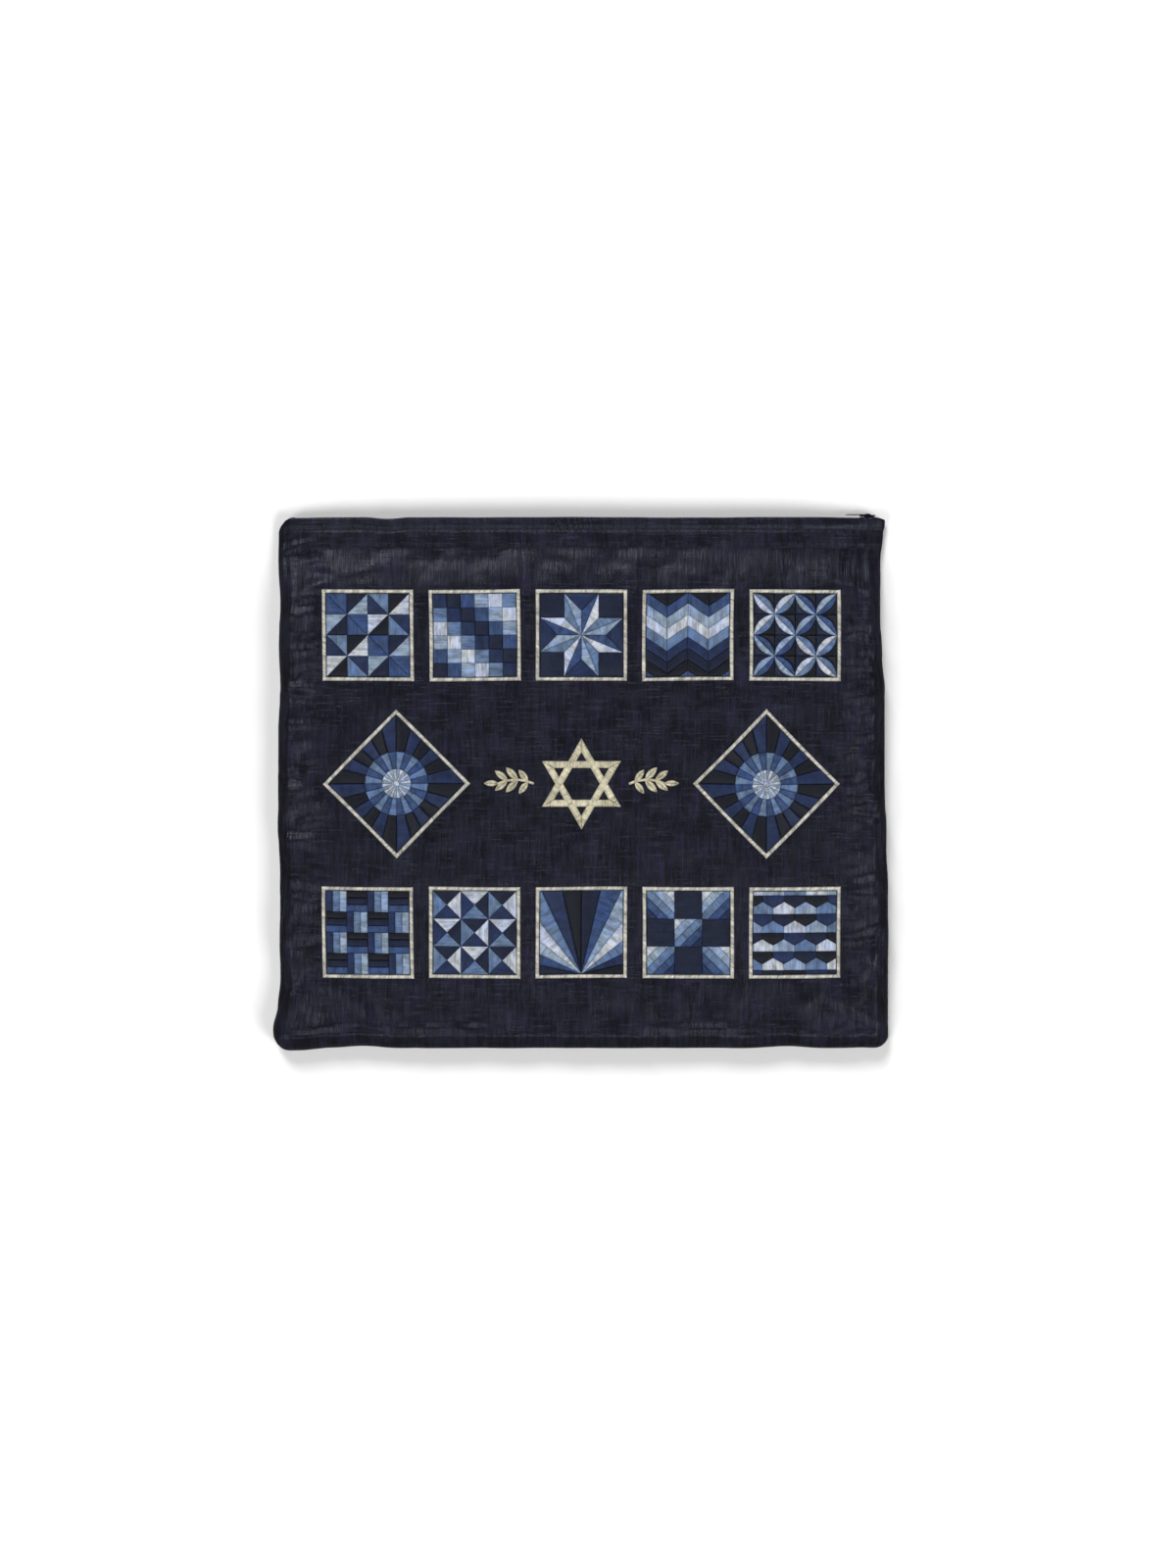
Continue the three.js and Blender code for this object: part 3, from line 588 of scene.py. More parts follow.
def doubled(table):
    """The table with twice as many rows, rounded off as a cubic spline would."""
    ends = np.concatenate((table[:1], table, table[-1:]))
    kept = (ends[:-2] + 6 * table + ends[2:]) / 8
    between = (table[:-1] + table[1:]) / 2
    made = np.empty((2 * len(table) - 1, *table.shape[1:]))
    made[::2], made[1::2] = kept, between
    return made


class Settled:
    """How the front's margins buckle: their silk is cut longer than the seams that gather it.

    It comes from a Cloth simulation of a coarse grid, which the embroidery, the seams and the lip hold."""

    DOUBLINGS = 3
    INWARD = 1.2 * MM
    OUTWARD = 2.4 * MM

    # The silk comes loose over these distances from the design and the seams, and is held from this
    # much below the lip's level.
    FROM_DESIGN = (1 * MM, 7 * MM)
    FROM_SEAM = (0.5 * MM, 2 * MM)
    BELOW_LIP = 0.04

    # Above and below the patches it moves by this share, which rises to the whole over these distances
    # from the design's sides. It falls to that share again near the top right corner, over these shares
    # of the half height and half width.
    CALM = 0.4
    BESIDE_DESIGN = (-20 * MM, 10 * MM)
    CORNER_UP = (0.55, 0.75)
    CORNER_ACROSS = (0.2, 0.6)

    CLOTH = {"quality": 6, "mass": 0.05, "bending_stiffness": 0.02, "vertex_group_mass": "held"}

    def __init__(self, body, creases):
        look, form = creases.look, body.form
        columns, rows = (round(size / look.settling_cell) for size in (form.width, form.height))
        u, v = np.meshgrid(np.linspace(-1, 1, columns), np.linspace(-1, 1, rows))
        self.table = np.zeros((rows, columns))
        self.table = self.simulated(body, creases, u, v)
        for _ in range(self.DOUBLINGS):
            self.table = doubled(doubled(self.table).T).T

    def simulated(self, body, creases, u, v):
        look = creases.look
        x, y = u * body.half_width, v * body.half_height
        flat = body.front(u, v)
        normal = normals_of(flat)
        start = flat + normal * creases.front(u, v)[..., None]
        loose = np.minimum(
            smooth(outside_design(x, y), *self.FROM_DESIGN), smooth(body.from_seams(u, v), *self.FROM_SEAM)
        )
        held = np.maximum(1 - loose, smooth(v, body.lip_level - self.BELOW_LIP, body.lip_level))
        data = bpy.data.meshes.new("settling")
        data.from_pydata(start.reshape(-1, 3).tolist(), [], grid_faces(*u.shape).tolist())
        silk = linked("settling", data)
        group = silk.vertex_groups.new(name=self.CLOTH["vertex_group_mass"])
        for i, weight in enumerate(held.ravel().tolist()):
            group.add((i,), weight, "REPLACE")
        cloth = silk.modifiers.new("settling", "CLOTH")
        cloth.collision_settings.use_collision = False
        cloth.point_cache.frame_end = look.settling_frames
        cloth.settings.effector_weights.gravity = 0
        cloth.settings.shrink_min = -look.spare
        for key, value in self.CLOTH.items():
            setattr(cloth.settings, key, value)
        for frame_number in range(1, look.settling_frames + 1):
            bpy.context.scene.frame_set(frame_number)
        seen = silk.evaluated_get(bpy.context.evaluated_depsgraph_get())
        end = np.empty(start.size)
        seen.data.vertices.foreach_get("co", end)
        bpy.data.objects.remove(silk)
        bpy.context.scene.frame_set(1)
        moved = ((end.reshape(start.shape) - start) * normal).sum(-1)
        moved *= mix(self.CALM, 1, smooth(abs(x) - DESIGN_HALF[0], *self.BESIDE_DESIGN))
        moved *= mix(1, self.CALM, smooth(v, *self.CORNER_UP) * smooth(u, *self.CORNER_ACROSS))
        inward, outward = (limit * np.tanh(moved / limit) for limit in (self.INWARD, self.OUTWARD))
        return np.where(moved < 0, inward, outward)

    def at(self, u, v):
        rows, columns = self.table.shape
        across, up = (u + 1) / 2 * (columns - 1), (v + 1) / 2 * (rows - 1)
        i, j = (np.clip(part.astype(int), 0, most - 2) for part, most in ((across, columns), (up, rows)))
        a, b = across - i, up - j
        lower = mix(self.table[j, i], self.table[j, i + 1], a)
        upper = mix(self.table[j + 1, i], self.table[j + 1, i + 1], a)
        return mix(lower, upper, b)


class Front:
    """The creased and settled front, for what is stitched into it."""

    def __init__(self, body, creases):
        self.body = body
        self.creases = creases
        self.settled = Settled(body, creases)

    def relief(self, u, v):
        return self.creases.front(u, v) + self.settled.at(u, v)

    def height(self, x, y):
        u, v = self.body.place(x, y)
        return self.body.front(u, v)[..., 2] + self.relief(u, v)


MADE = {}


def bag_parts(context):
    """The body, its creases and the settled front, made again only when a size has changed."""
    groups = (context.scene.bag_form, context.scene.bag_cloth)
    sizes = [str(getattr(group, key)) for group in groups for key in group.__annotations__]
    if MADE.get("sizes") != sizes:
        body = Body(groups[0])
        creases = Creases(body, groups[1])
        MADE.update(sizes=sizes, parts=(body, creases, Front(body, creases)))
    return MADE["parts"]


class Expr:
    """A number in a shader. Python's operators on it add Math nodes."""

    def __init__(self, graph, socket):
        self.graph = graph
        self.socket = socket

    def math(self, operation, *others):
        values = (self, *others)
        return self.graph.node("ShaderNodeMath", {"operation": operation}, dict(enumerate(values)))[0]

    def __add__(self, other):
        return self.math("ADD", other)

    def __radd__(self, other):
        return self.math("ADD", other)

    def __sub__(self, other):
        return self.math("SUBTRACT", other)

    def __rsub__(self, other):
        return self.math("MULTIPLY_ADD", -1, other)

    def __mul__(self, other):
        return self.math("MULTIPLY", other)

    def __rmul__(self, other):
        return self.math("MULTIPLY", other)

    def __truediv__(self, other):
        return self.math("DIVIDE", other)

    def __rtruediv__(self, other):
        return self ** -1 * other

    def __pow__(self, other):
        return self.math("POWER", other)

    def __rpow__(self, other):
        return (self * math.log(other)).math("EXPONENT")

    def __abs__(self):
        return self.math("ABSOLUTE")

    def sine(self):
        return self.math("SINE")

    def floor(self):
        return self.math("FLOOR")

    def wave(self, pitch):
        """A sine wave of this pitch."""
        return (self * (2 * math.pi / pitch)).sine()

    def clamped(self):
        return self.graph.node("ShaderNodeClamp", {}, {0: self})[0]

    def eased(self, low, high):
        """Eased share of the way from low to high."""
        sockets = {0: self, 1: low, 2: high, 3: 0.0, 4: 1.0}
        return self.graph.node("ShaderNodeMapRange", {"interpolation_type": "SMOOTHSTEP"}, sockets)[0]


class Graph:
    """The nodes of a material, or of a world, under construction."""

    # Which output of a Texture Coordinate node gives which place.
    GENERATED = 0
    OBJECT = 3

    def __init__(self, name, kind=bpy.data.materials):
        self.block = kind.new(name)
        self.block.use_nodes = True
        self.tree = self.block.node_tree
        self.tree.nodes.clear()

    def node(self, kind, settings, inputs):
        """Add a node, set it up, feed its sockets, and give back its outputs as expressions."""
        made = self.tree.nodes.new(kind)
        for key, value in settings.items():
            setattr(made, key, value)
        for key, value in inputs.items():
            if isinstance(value, Expr):
                self.tree.links.new(value.socket, made.inputs[key])
            elif isinstance(value, tuple) and len(value) == 3 and made.inputs[key].type == "RGBA":
                made.inputs[key].default_value = (*value, 1)
            else:
                made.inputs[key].default_value = value
        return [Expr(self, output) for output in made.outputs]

    def uv(self, layer):
        return self.node("ShaderNodeUVMap", {"uv_map": layer}, {})[0]

    def place(self, output):
        """One output of a Texture Coordinate node."""
        return self.node("ShaderNodeTexCoord", {}, {})[output]

    def parts(self, vector):
        return self.node("ShaderNodeSeparateXYZ", {}, {0: vector})

    def vector(self, x, y, z=0.0):
        return self.node("ShaderNodeCombineXYZ", {}, {0: x, 1: y, 2: z})[0]

    def scaled(self, vector, factors):
        return self.node("ShaderNodeVectorMath", {"operation": "MULTIPLY"}, {0: vector, 1: factors})[0]

    def noise(self, vector, scale=1.0, detail=2.0, rough=0.5):
        sockets = {"Vector": vector, "Scale": scale, "Detail": detail, "Roughness": rough}
        return self.node("ShaderNodeTexNoise", {}, sockets)[0]

    def drawn_out(self, uv, across, along, low, high):
        """Noise drawn out into yarns, with its scales across and along them, eased between low and high."""
        return self.noise(self.scaled(uv, (across, along, 1.0)), detail=3.0, rough=0.6).eased(low, high)

    def random(self, value):
        """A random number from 0 to 1 for each whole value."""
        return self.node("ShaderNodeTexWhiteNoise", {"noise_dimensions": "1D"}, {"W": value})[0]

    def blend(self, a, b, share):
        """A colour between a and b. A Mix node's colours are its sockets 6 and 7, and its third output."""
        return self.node("ShaderNodeMix", {"data_type": "RGBA"}, {0: share, 6: a, 7: b})[2]

    def bump(self, height, distance):
        return self.node("ShaderNodeBump", {}, {"Height": height, "Distance": distance, "Strength": 1.0})[0]

    def surface(self, sockets):
        shader = self.node("ShaderNodeBsdfPrincipled", {}, sockets)[0]
        self.node("ShaderNodeOutputMaterial", {}, {"Surface": shader})
        return self.block


def shade(colour_value, share):
    """The colour times a share, for a darker or lighter tone of it."""
    return tuple(min(1.0, part * share) for part in colour_value)


def silk_material(look):
    """Slub silk: fine weave, long bright slubs along the warp and fainter ones across.

    Scales are per metre, here and in the other materials."""
    graph = Graph("slub_silk")
    uv = graph.uv("cloth")
    x, y, _ = graph.parts(uv)
    warp_slub = graph.drawn_out(uv, 1300.0, 50.0, 0.48, 0.75)
    weft_slub = graph.drawn_out(uv, 55.0, 1100.0, 0.52, 0.8)
    streaks = graph.drawn_out(uv, 430.0, 36.0, 0.36, 0.7)
    broad = graph.noise(uv, scale=60.0, detail=4.0, rough=0.6).eased(0.3, 0.7)
    weave = x.wave(0.5 * MM) * y.wave(0.62 * MM)
    light = (warp_slub * 0.5 + weft_slub * 0.35 + streaks * 0.5 + broad * 0.3 - 0.2).clamped()
    violet = graph.noise(uv, scale=34.0, detail=2.0).eased(0.4, 0.65)
    shot = graph.blend(tuple(look.slub), tuple(look.shot), violet)
    base = graph.blend(tuple(look.silk), shot, light)
    height = warp_slub * 0.8 + weft_slub * 0.6 + weave * 0.07 + streaks * 0.7
    rough = 0.34 - warp_slub * 0.1 - streaks * 0.06 + broad * 0.1
    return graph.surface({
        "Base Color": base, "Roughness": rough, "Normal": graph.bump(height, 0.2 * MM),
        "Specular IOR Level": 0.3, "Specular Tint": (0.8, 0.83, 1.0, 1.0),
    })


def lining_material(look):
    """Plain satin, smoother than the silk."""
    graph = Graph("satin_lining")
    uv = graph.uv("cloth")
    fine = graph.noise(graph.scaled(uv, (1500.0, 60.0, 1.0)), detail=2.0)
    broad = graph.noise(uv, scale=30.0, detail=2.0)
    base = graph.blend(shade(look.lining, 0.7), tuple(look.lining), (fine * 0.6 + broad * 0.4).clamped())
    return graph.surface({
        "Base Color": base, "Roughness": 0.42 + broad * 0.1, "Normal": graph.bump(fine, 0.08 * MM),
        "Sheen Weight": 0.15, "Sheen Roughness": 0.3,
    })


def thread_material(name, colour_value, stitching, shine, metal=0.0, cool=0.0):
    """Parallel threads: v counts across them and u runs along them, both in metres.

    cool is how much bluer the dye turns in places."""
    graph = Graph(name)
    along, across, _ = graph.parts(graph.uv("thread"))
    count = across / stitching.thread
    ridge = abs((count * math.pi).sine()) ** 0.6
    tone = graph.random(count.floor())
    runs = graph.noise(graph.vector(along * 160.0, count.floor() * 3.7), detail=1.0)
    twist = (along * (2 * math.pi / (0.8 * MM)) + count * 2).sine()
    broad = graph.noise(graph.vector(along * 130.0, across * 240.0, 3.0), detail=3.0, rough=0.65)
    # mottle: streaky and broad patches, partly random tone and partly painted glints of threads catching the
    # light
    mottle = runs.eased(0.3, 0.7) * 0.3 + broad.eased(0.32, 0.68) * 0.65
    # The colour runs from a darker to a lighter copy of the thread's. It is lighter on each thread's crest
    # and darker in the groove between threads, which is painted highlight and painted shade. It also takes
    # painted glints from the mottle and a random tone for each thread.
    light = (tone * 0.35 + mottle + ridge * 0.25 - 0.28).clamped()
    dark, bright = shade(colour_value, 0.42), shade(colour_value, 1.42)
    bluer = tuple(part * (1 + cool * more) for part, more in zip(bright, (-0.22, -0.1, 0.3)))
    dye = graph.noise(graph.vector(along * 60.0, across * 60.0, 8.0), detail=2.0).eased(0.42, 0.6)
    return graph.surface({
        "Base Color": graph.blend(dark, graph.blend(bright, bluer, dye), light),
        "Roughness": shine + (1 - ridge) * 0.25,
        "Normal": graph.bump(ridge + twist * 0.12 + tone * 0.3, 0.2 * MM),
        "Metallic": metal, "Sheen Weight": 0.05, "Sheen Roughness": 0.3,
        "Specular IOR Level": 0.35, "Specular Tint": (0.85, 0.9, 1.0, 1.0),
    })


def tape_material(zip_look):
    """Woven tape with ribs along it, its colour lighter on the crests of ribs and picks and darker between
    them: painted highlight and shade.
    """
    graph = Graph("zip_tape_weave")
    x, y, _ = graph.parts(graph.uv("cloth"))
    ribs = y.wave(0.9 * MM)
    picks = (x / (0.5 * MM) + y / (1.1 * MM)).wave(1)
    # Painted shade in the grooves of the weave and painted highlight on its crests, following the bump's
    # ribs and picks
    light = (ribs * 0.25 + picks * 0.25 + 0.5).clamped()
    base = graph.blend(shade(zip_look.tape, 0.6), shade(zip_look.tape, 1.7), light)
    return graph.surface({
        "Base Color": base, "Roughness": 0.85 - light * 0.1, "Normal": graph.bump(light, 0.15 * MM),
        "Sheen Weight": 0.2,
    })


def moulded_material(name, colour_value, rough, metal):
    """Nylon or enamelled metal, faintly uneven and rubbed."""
    graph = Graph(name)
    spot = graph.place(graph.OBJECT)
    uneven = graph.noise(spot, scale=900.0, detail=3.0)
    rubbed = graph.noise(spot, scale=160.0, detail=4.0).eased(0.52, 0.7)
    base = graph.blend(tuple(colour_value), shade(colour_value, 2.6), rubbed * 0.6)
    return graph.surface({
        "Base Color": base, "Roughness": rough + uneven * 0.16 - rubbed * 0.08, "Metallic": metal,
        "Normal": graph.bump(uneven, 0.03 * MM),
    })


def floor_material(stage):
    """Matt paper, very faintly mottled."""
    graph = Graph("studio_floor")
    mottle = graph.noise(graph.place(graph.OBJECT), scale=3.0, detail=2.0)
    base = graph.blend(shade(stage.floor, 0.985), tuple(stage.floor), mottle)
    return graph.surface({"Base Color": base, "Roughness": 0.9})


def kept_material(name, make):
    """The named material, made once."""
    return bpy.data.materials.get(name) or make()


def grid_faces(rows, columns, wrapped=False):
    """Quads of a grid of points that are stored row by row. A wrapped grid's last row joins its first."""
    j, i = np.meshgrid(np.arange(rows if wrapped else rows - 1), np.arange(columns - 1), indexing="ij")
    here, above = (j * columns + i).ravel(), ((j + 1) % rows * columns + i).ravel()
    return np.stack((here, here + 1, above + 1, above), -1)


def linked(name, data):
    """A new object in the scene."""
    made = bpy.data.objects.new(name, data)
    bpy.context.scene.collection.objects.link(made)
    return made


def add_piece(name, points, faces, materials, layer, coordinates, tones=None, slot=None, replaced=()):
    """A smooth piece from points and quads, with one UV layer in metres, riding on the body."""
    data = bpy.data.meshes.new(name)
    data.from_pydata(np.asarray(points).reshape(-1, 3).tolist(), [], np.asarray(faces).tolist())
    corners = np.empty(len(data.loops), int)
    data.loops.foreach_get("vertex_index", corners)
    uv = data.uv_layers.new(name=layer)
    uv.data.foreach_set("uv", np.asarray(coordinates, float).reshape(-1, 2)[corners].ravel())
    data.polygons.foreach_set("use_smooth", np.ones(len(data.polygons), bool))
    for material in materials:
        data.materials.append(material)
    if tones is not None:
        data.polygons.foreach_set("material_index", np.asarray(tones, int))
    data.update()
    piece = linked(name, data)
    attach(piece, BODY)
    if replaced:
        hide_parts(*replaced)
    return piece


# How the panels are divided and folded: lines round an edge roll, the hem's cell, the rows of its
# turned edge, from face to face, and of its inner face, how gradually that edge opens from a seam, the
# depth by which the silk tucks in past a seam, and how far the lining goes under the hem.
ROLL_LINES = 18
HEM_CELL = 0.7 * MM
HEM_TURN_ROWS = 7
HEM_ROWS = 6
HEM_OPENING = 6 * MM
TUCK = 1.2 * MM
UNDER_HEM = 1 * MM


def edge_lines(half, reach, cell):
    """Shares from -1 to 0 of a half size: dense round the roll at the edge, even beyond it."""
    rounded = reach * (1 - np.cos(np.linspace(0, math.pi / 2, ROLL_LINES)))
    even = np.linspace(reach, half, max(2, round((half - reach) / cell)))
    return np.concatenate((rounded, even[1:])) / half - 1


def across_lines(body, cell):
    left = edge_lines(body.half_width, body.form.edge_roll, cell)
    return np.concatenate((left, -left[-2::-1]))


def up_lines(body, cell):
    """Lines from the bottom seam to the mouth, closer together at the hem."""
    level = body.lip_level
    lower = edge_lines(body.half_height, body.form.edge_roll, cell)
    upper = np.linspace(0, level, round(level * body.half_height / cell))
    hem = np.linspace(level, 1, round(body.form.lip_depth / HEM_CELL))
    return np.concatenate((lower, upper[1:], hem[1:]))


def normals_of(points):
    """Unit normals of a grid of points."""
    normal = np.cross(np.gradient(points, axis=1), np.gradient(points, axis=0))
    size = np.linalg.norm(normal, axis=-1, keepdims=True)
    return normal / np.maximum(size, 1e-12)


def folded_hem(body, face, us, lip):
    """Rows of points that turn the mouth's edge in and run back under it, and each row's v."""
    inner = face(us, 1.0, body.form.wall)
    round_up = np.linalg.norm(lip - inner, axis=-1) / 2 * smooth(body.from_side(us), 0, HEM_OPENING)
    folded, levels = [], []
    for angle in np.linspace(0, math.pi, HEM_TURN_ROWS)[1:-1]:
        row = (lip + inner) / 2 + (lip - inner) / 2 * math.cos(angle)
        row[:, 1] += round_up * math.sin(angle)
        folded.append(row)
        levels.append(1.0)
    for back in np.linspace(0, body.form.lip_depth, HEM_ROWS):
        levels.append(body.behind_mouth(back))
        folded.append(face(us, levels[-1], body.form.wall))
    return np.stack(folded), levels


def silk_panel(body, face, relief, cell, side):
    """Points and UVs of one outer panel: tucks at its seams, and a hem turned in at the mouth.

    side is 1 for the front and -1 for the back, whose outer face looks down."""
    us, vs = across_lines(body, cell), up_lines(body, cell)
    u, v = np.meshgrid(us, vs)
    points = face(u, v)
    normal = normals_of(points) * side
    points = points + normal * relief(u, v)[..., None]
    points[..., 2] = np.maximum(points[..., 2], 0)
    folded, levels = folded_hem(body, face, us, points[-1])
    points = np.concatenate((points, folded))
    rows = np.concatenate((vs, levels))
    columns = []
    for end, edge in ((-1, 0), (1, -1)):
        column = body.point(end, rows, TUCK, points[:, edge, 2])
        column[len(vs):, 1] = points[len(vs):, edge, 1]
        columns.append(column[:, None])
    points = np.concatenate((columns[0], points, columns[1]), axis=1)
    wide_us = np.concatenate(((-1,), us, (1,)))
    bottom = body.point(wide_us, -1, TUCK, points[0, :, 2])
    points = np.concatenate((bottom[None], points))
    return points, paired(wide_us * body.half_width, run_of(points[:, len(us) // 2])[:, None])


def add_sheet(name, points, uv, material, flip, **more):
    faces = grid_faces(*points.shape[:2])
    if flip:
        faces = faces[:, ::-1]
    return add_piece(name, points, faces, [material], "cloth", uv, slot="cloth", **more)


class BAG_OT_front(bpy.types.Operator):
    """Make the creased silk front and its lining"""

    bl_idname = "bag.front"
    bl_label = "Front panel"

    def execute(self, context):
        body, _, front = bag_parts(context)
        look = context.scene.bag_cloth
        silk = kept_material("slub_silk", lambda: silk_material(look))
        points, uv = silk_panel(body, body.front, front.relief, look.cell, 1)
        panel = add_sheet("front_silk", points, uv, silk, False, replaced=("front_panel",))
        form = body.form
        size = (form.width + 2 * form.edge_roll, form.height + form.edge_roll + form.lip_depth)
        add_lining(body, look, body.front, front.relief, "front_lining", 1)
        return {"FINISHED"}


class BAG_OT_back(bpy.types.Operator):
    """Make the plain silk back and its lining"""

    bl_idname = "bag.back"
    bl_label = "Back panel"

    def execute(self, context):
        body, creases, _ = bag_parts(context)
        look = context.scene.bag_cloth
        silk = kept_material("slub_silk", lambda: silk_material(look))
        points, uv = silk_panel(body, body.back, creases.back, look.back_cell, -1)
        panel = add_sheet("back_silk", points, uv, silk, True, replaced=("back_panel",))
        size = (body.form.width + body.form.edge_roll, body.form.height + body.form.lip_depth)
        add_lining(body, look, body.back, creases.back, "back_lining", -1)
        return {"FINISHED"}


def add_lining(body, look, face, relief, name, side):
    """A satin lining inside the wall, up to under the hem. It gives way where the silk dents."""
    satin = kept_material("satin_lining", lambda: lining_material(look))
    vs = up_lines(body, look.back_cell)
    vs = vs[vs < body.behind_mouth(body.form.lip_depth - UNDER_HEM)]
    u, v = np.meshgrid(across_lines(body, look.back_cell), vs)
    points = face(u, v, body.form.wall)
    points += normals_of(points) * side * np.minimum(relief(u, v), 0)[..., None]
    uv = paired(u * body.half_width, v * body.half_height)
    lining = add_sheet(name, points, uv, satin, side > 0)


def box_outline(x, y, half_x, half_y):
    return [(x + a * half_x, y + b * half_y) for a, b in ((-1, -1), (1, -1), (1, 1), (-1, 1))]


def clipped(outline, half=1.0):
    """The part of an outline inside the square that reaches half each way."""
    for axis, side in ((0, 1), (0, -1), (1, 1), (1, -1)):
        kept = []
        for p, q in zip(outline, outline[1:] + outline[:1]):
            inside_p, inside_q = side * p[axis] <= half, side * q[axis] <= half
            if inside_p:
                kept.append(p)
            if inside_p != inside_q:
                share = (side * half - p[axis]) / (q[axis] - p[axis])
                kept.append((mix(p[0], q[0], share), mix(p[1], q[1], share)))
        outline = kept
        if len(outline) < 3:
            return []
    return outline


def cells(count):
    """Middles of a square grid of cells, with their column and row, and the cells' half size."""
    half = 1 / count
    for j in range(count):
        for i in range(count):
            yield (2 * i + 1) * half - 1, (2 * j + 1) * half - 1, i, j, half


# Each motif gives its stitched shapes as outline, thread angle in degrees and tone, in a square from
# -1 to 1. A tone is a place in this list.
TONES = ("ink", "navy", "deep", "middle", "steel", "mist", "silver")


def pinwheels():
    """Four pinwheels, their blades in two tones."""
    for x, y, i, j, half in cells(2):
        for k in range(4):
            turn = 90 * k
            odd, step = (i + j) % 2, 2 * (k % 2)
            yield turned([(0, 0), (half, 0), (half, half)], x, y, turn), turn, 6 - odd - step
            yield turned([(0, 0), (half, half), (0, half)], x, y, turn), turn + 90, odd + step


def checkers():
    """A checkerboard that grades across its diagonal."""
    grades = (1, 3, 5, 6, 4, 2)
    for x, y, i, j, half in cells(6):
        tone = grades[(i + j) % len(grades)]
        yield box_outline(x, y, half, half), 90 * ((i + j) % 2), tone


def eight_point_star():
    """A star of eight rhombs, each in two tones."""
    side = 2 - math.sqrt(2)
    lean = side / math.sqrt(2)
    for k in range(8):
        turn = 45 * k
        yield turned([(0, 0), (side, 0), (1, lean)], 0, 0, turn), turn + 100, 6 if k % 2 else 5
        yield turned([(0, 0), (1, lean), (lean, lean)], 0, 0, turn), turn - 55, 3 if k % 2 else 4
    middle, half = (1 + lean) / 2, (1 - lean) / 2
    for k in range(4):
        turn = 90 * k
        yield turned(box_outline(middle, middle, half, half), 0, 0, turn), turn, 1
        yield turned([(side, 0), (1, -lean), (1, lean)], 0, 0, turn), turn + 90, 2


def chevrons():
    """Upright zigzag bands in graded tones."""
    columns, rise, deep = 4, 0.34, 0.27
    grades = (0, 1, 2, 4, 6, 5, 3)
    wide = 2 / columns
    for column in range(columns):
        left = -1 + column * wide
        lean = rise if column % 2 else -rise
        for k in range(-3, 10):
            low = -1.2 + k * deep
            start, end = (low, low + lean) if column % 2 else (low + rise, low + rise + lean)
            outline = [(left, start), (left + wide, end), (left + wide, end + deep), (left, start + deep)]
            shape = clipped(outline)
            if shape:
                yield shape, 90, grades[k % len(grades)]


def petals():
    """Crossing circles that leave four-petalled flowers."""
    steps = 7
    for x, y, i, j, half in cells(4):
        turn = 90 if (i + j) % 2 else 0
        size = 2 * half
        swing = [math.radians(90 + 90 * k / steps) for k in range(steps + 1)]
        arc = [(half + size * math.cos(a), -half + size * math.sin(a)) for a in swing]
        mirror = [(b, a) for a, b in arc]
        light, dark = (6, 4) if (i // 2 + j // 2) % 2 else (5, 3)
        yield turned(arc, x, y, turn), turn - 45, light
        yield turned(mirror, x, y, turn), turn - 45, dark
        yield turned([*arc, (-half, half)], x, y, turn), turn - 45, 1
        yield turned([*mirror, (half, -half)], x, y, turn), turn - 45, 0


def basket():
    """Basket weave: blocks of three graded bars, turned by turns."""
    bars = 3
    for x, y, i, j, half in cells(4):
        turn = 90 * ((i + j) % 2)
        grades = (5, 4, 2) if (i + j) % 2 else (3, 1, 0)
        for k in range(bars):
            middle = (2 * k + 1 - bars) * half / bars
            yield turned(box_outline(0, middle, half, half / bars), x, y, turn), turn + 90, grades[k]


def hourglasses():
    """Cells cut by both diagonals, light against dark."""
    for x, y, i, j, half in cells(3):
        odd = (i + j) % 2
        for k in range(4):
            turn = 90 * k
            pale = (k % 2) == odd
            tone = (6 if k < 2 else 4) if pale else (1 if k < 2 else 2)
            yield turned([(0, 0), (half, -half), (half, half)], x, y, turn), turn + 90, tone


def fan():
    """Rays that open from the middle of the lower edge."""
    rays, reach = 14, 4.0
    grades = (0, 2, 4, 6, 5, 3, 1)
    for k in range(rays):
        a, b = math.pi * k / rays, math.pi * (k + 1) / rays
        ends = [ring_point(reach, angle) for angle in (a, b)]
        shape = clipped([(0, -1), *((x, y - 1) for x, y in ends)])
        if shape:
            yield shape, math.degrees((a + b) / 2) + 90, grades[k % len(grades)]


def striped_nine():
    """Nine blocks, plain ones by turns with slanting stripes."""
    stripes = 5
    for x, y, i, j, half in cells(3):
        if (i + j) % 2:
            yield box_outline(x, y, half, half), 0, 1
            continue
        lean = 1 if (i == j) else -1
        wide = 4 * half / stripes
        for k in range(stripes):
            low = -2 * half + k * wide
            high = low + wide
            outline = [(-half, low - half), (half, low + half), (half, high + half), (-half, high - half)]
            shape = clipped(outline, half)
            if shape:
                placed = [(x + a * lean, y + b) for a, b in shape]
                placed = placed[::lean]
                yield placed, -45 * lean, 2 + k


def honeycomb():
    """Hexagons, each with a pale upper half and a dark lower half."""
    size = 0.3
    wide, tall = math.sqrt(3) * size, 1.5 * size
    for j in range(-3, 4):
        for i in range(-3, 4):
            x, y = (i + 0.5 * (j % 2)) * wide, j * tall
            crown = [ring_point(size, math.radians(angle)) for angle in (30, 90, 150)]
            half_hexagon = [(wide / 2, 0), *crown, (-wide / 2, 0)]
            upper = clipped([(x + a, y + b) for a, b in half_hexagon])
            lower = clipped([(x - a, y - b) for a, b in half_hexagon])
            if upper:
                yield upper, 90, 6 - (i + j) % 3
            if lower:
                yield lower, 90, 2 - (i - j) % 3


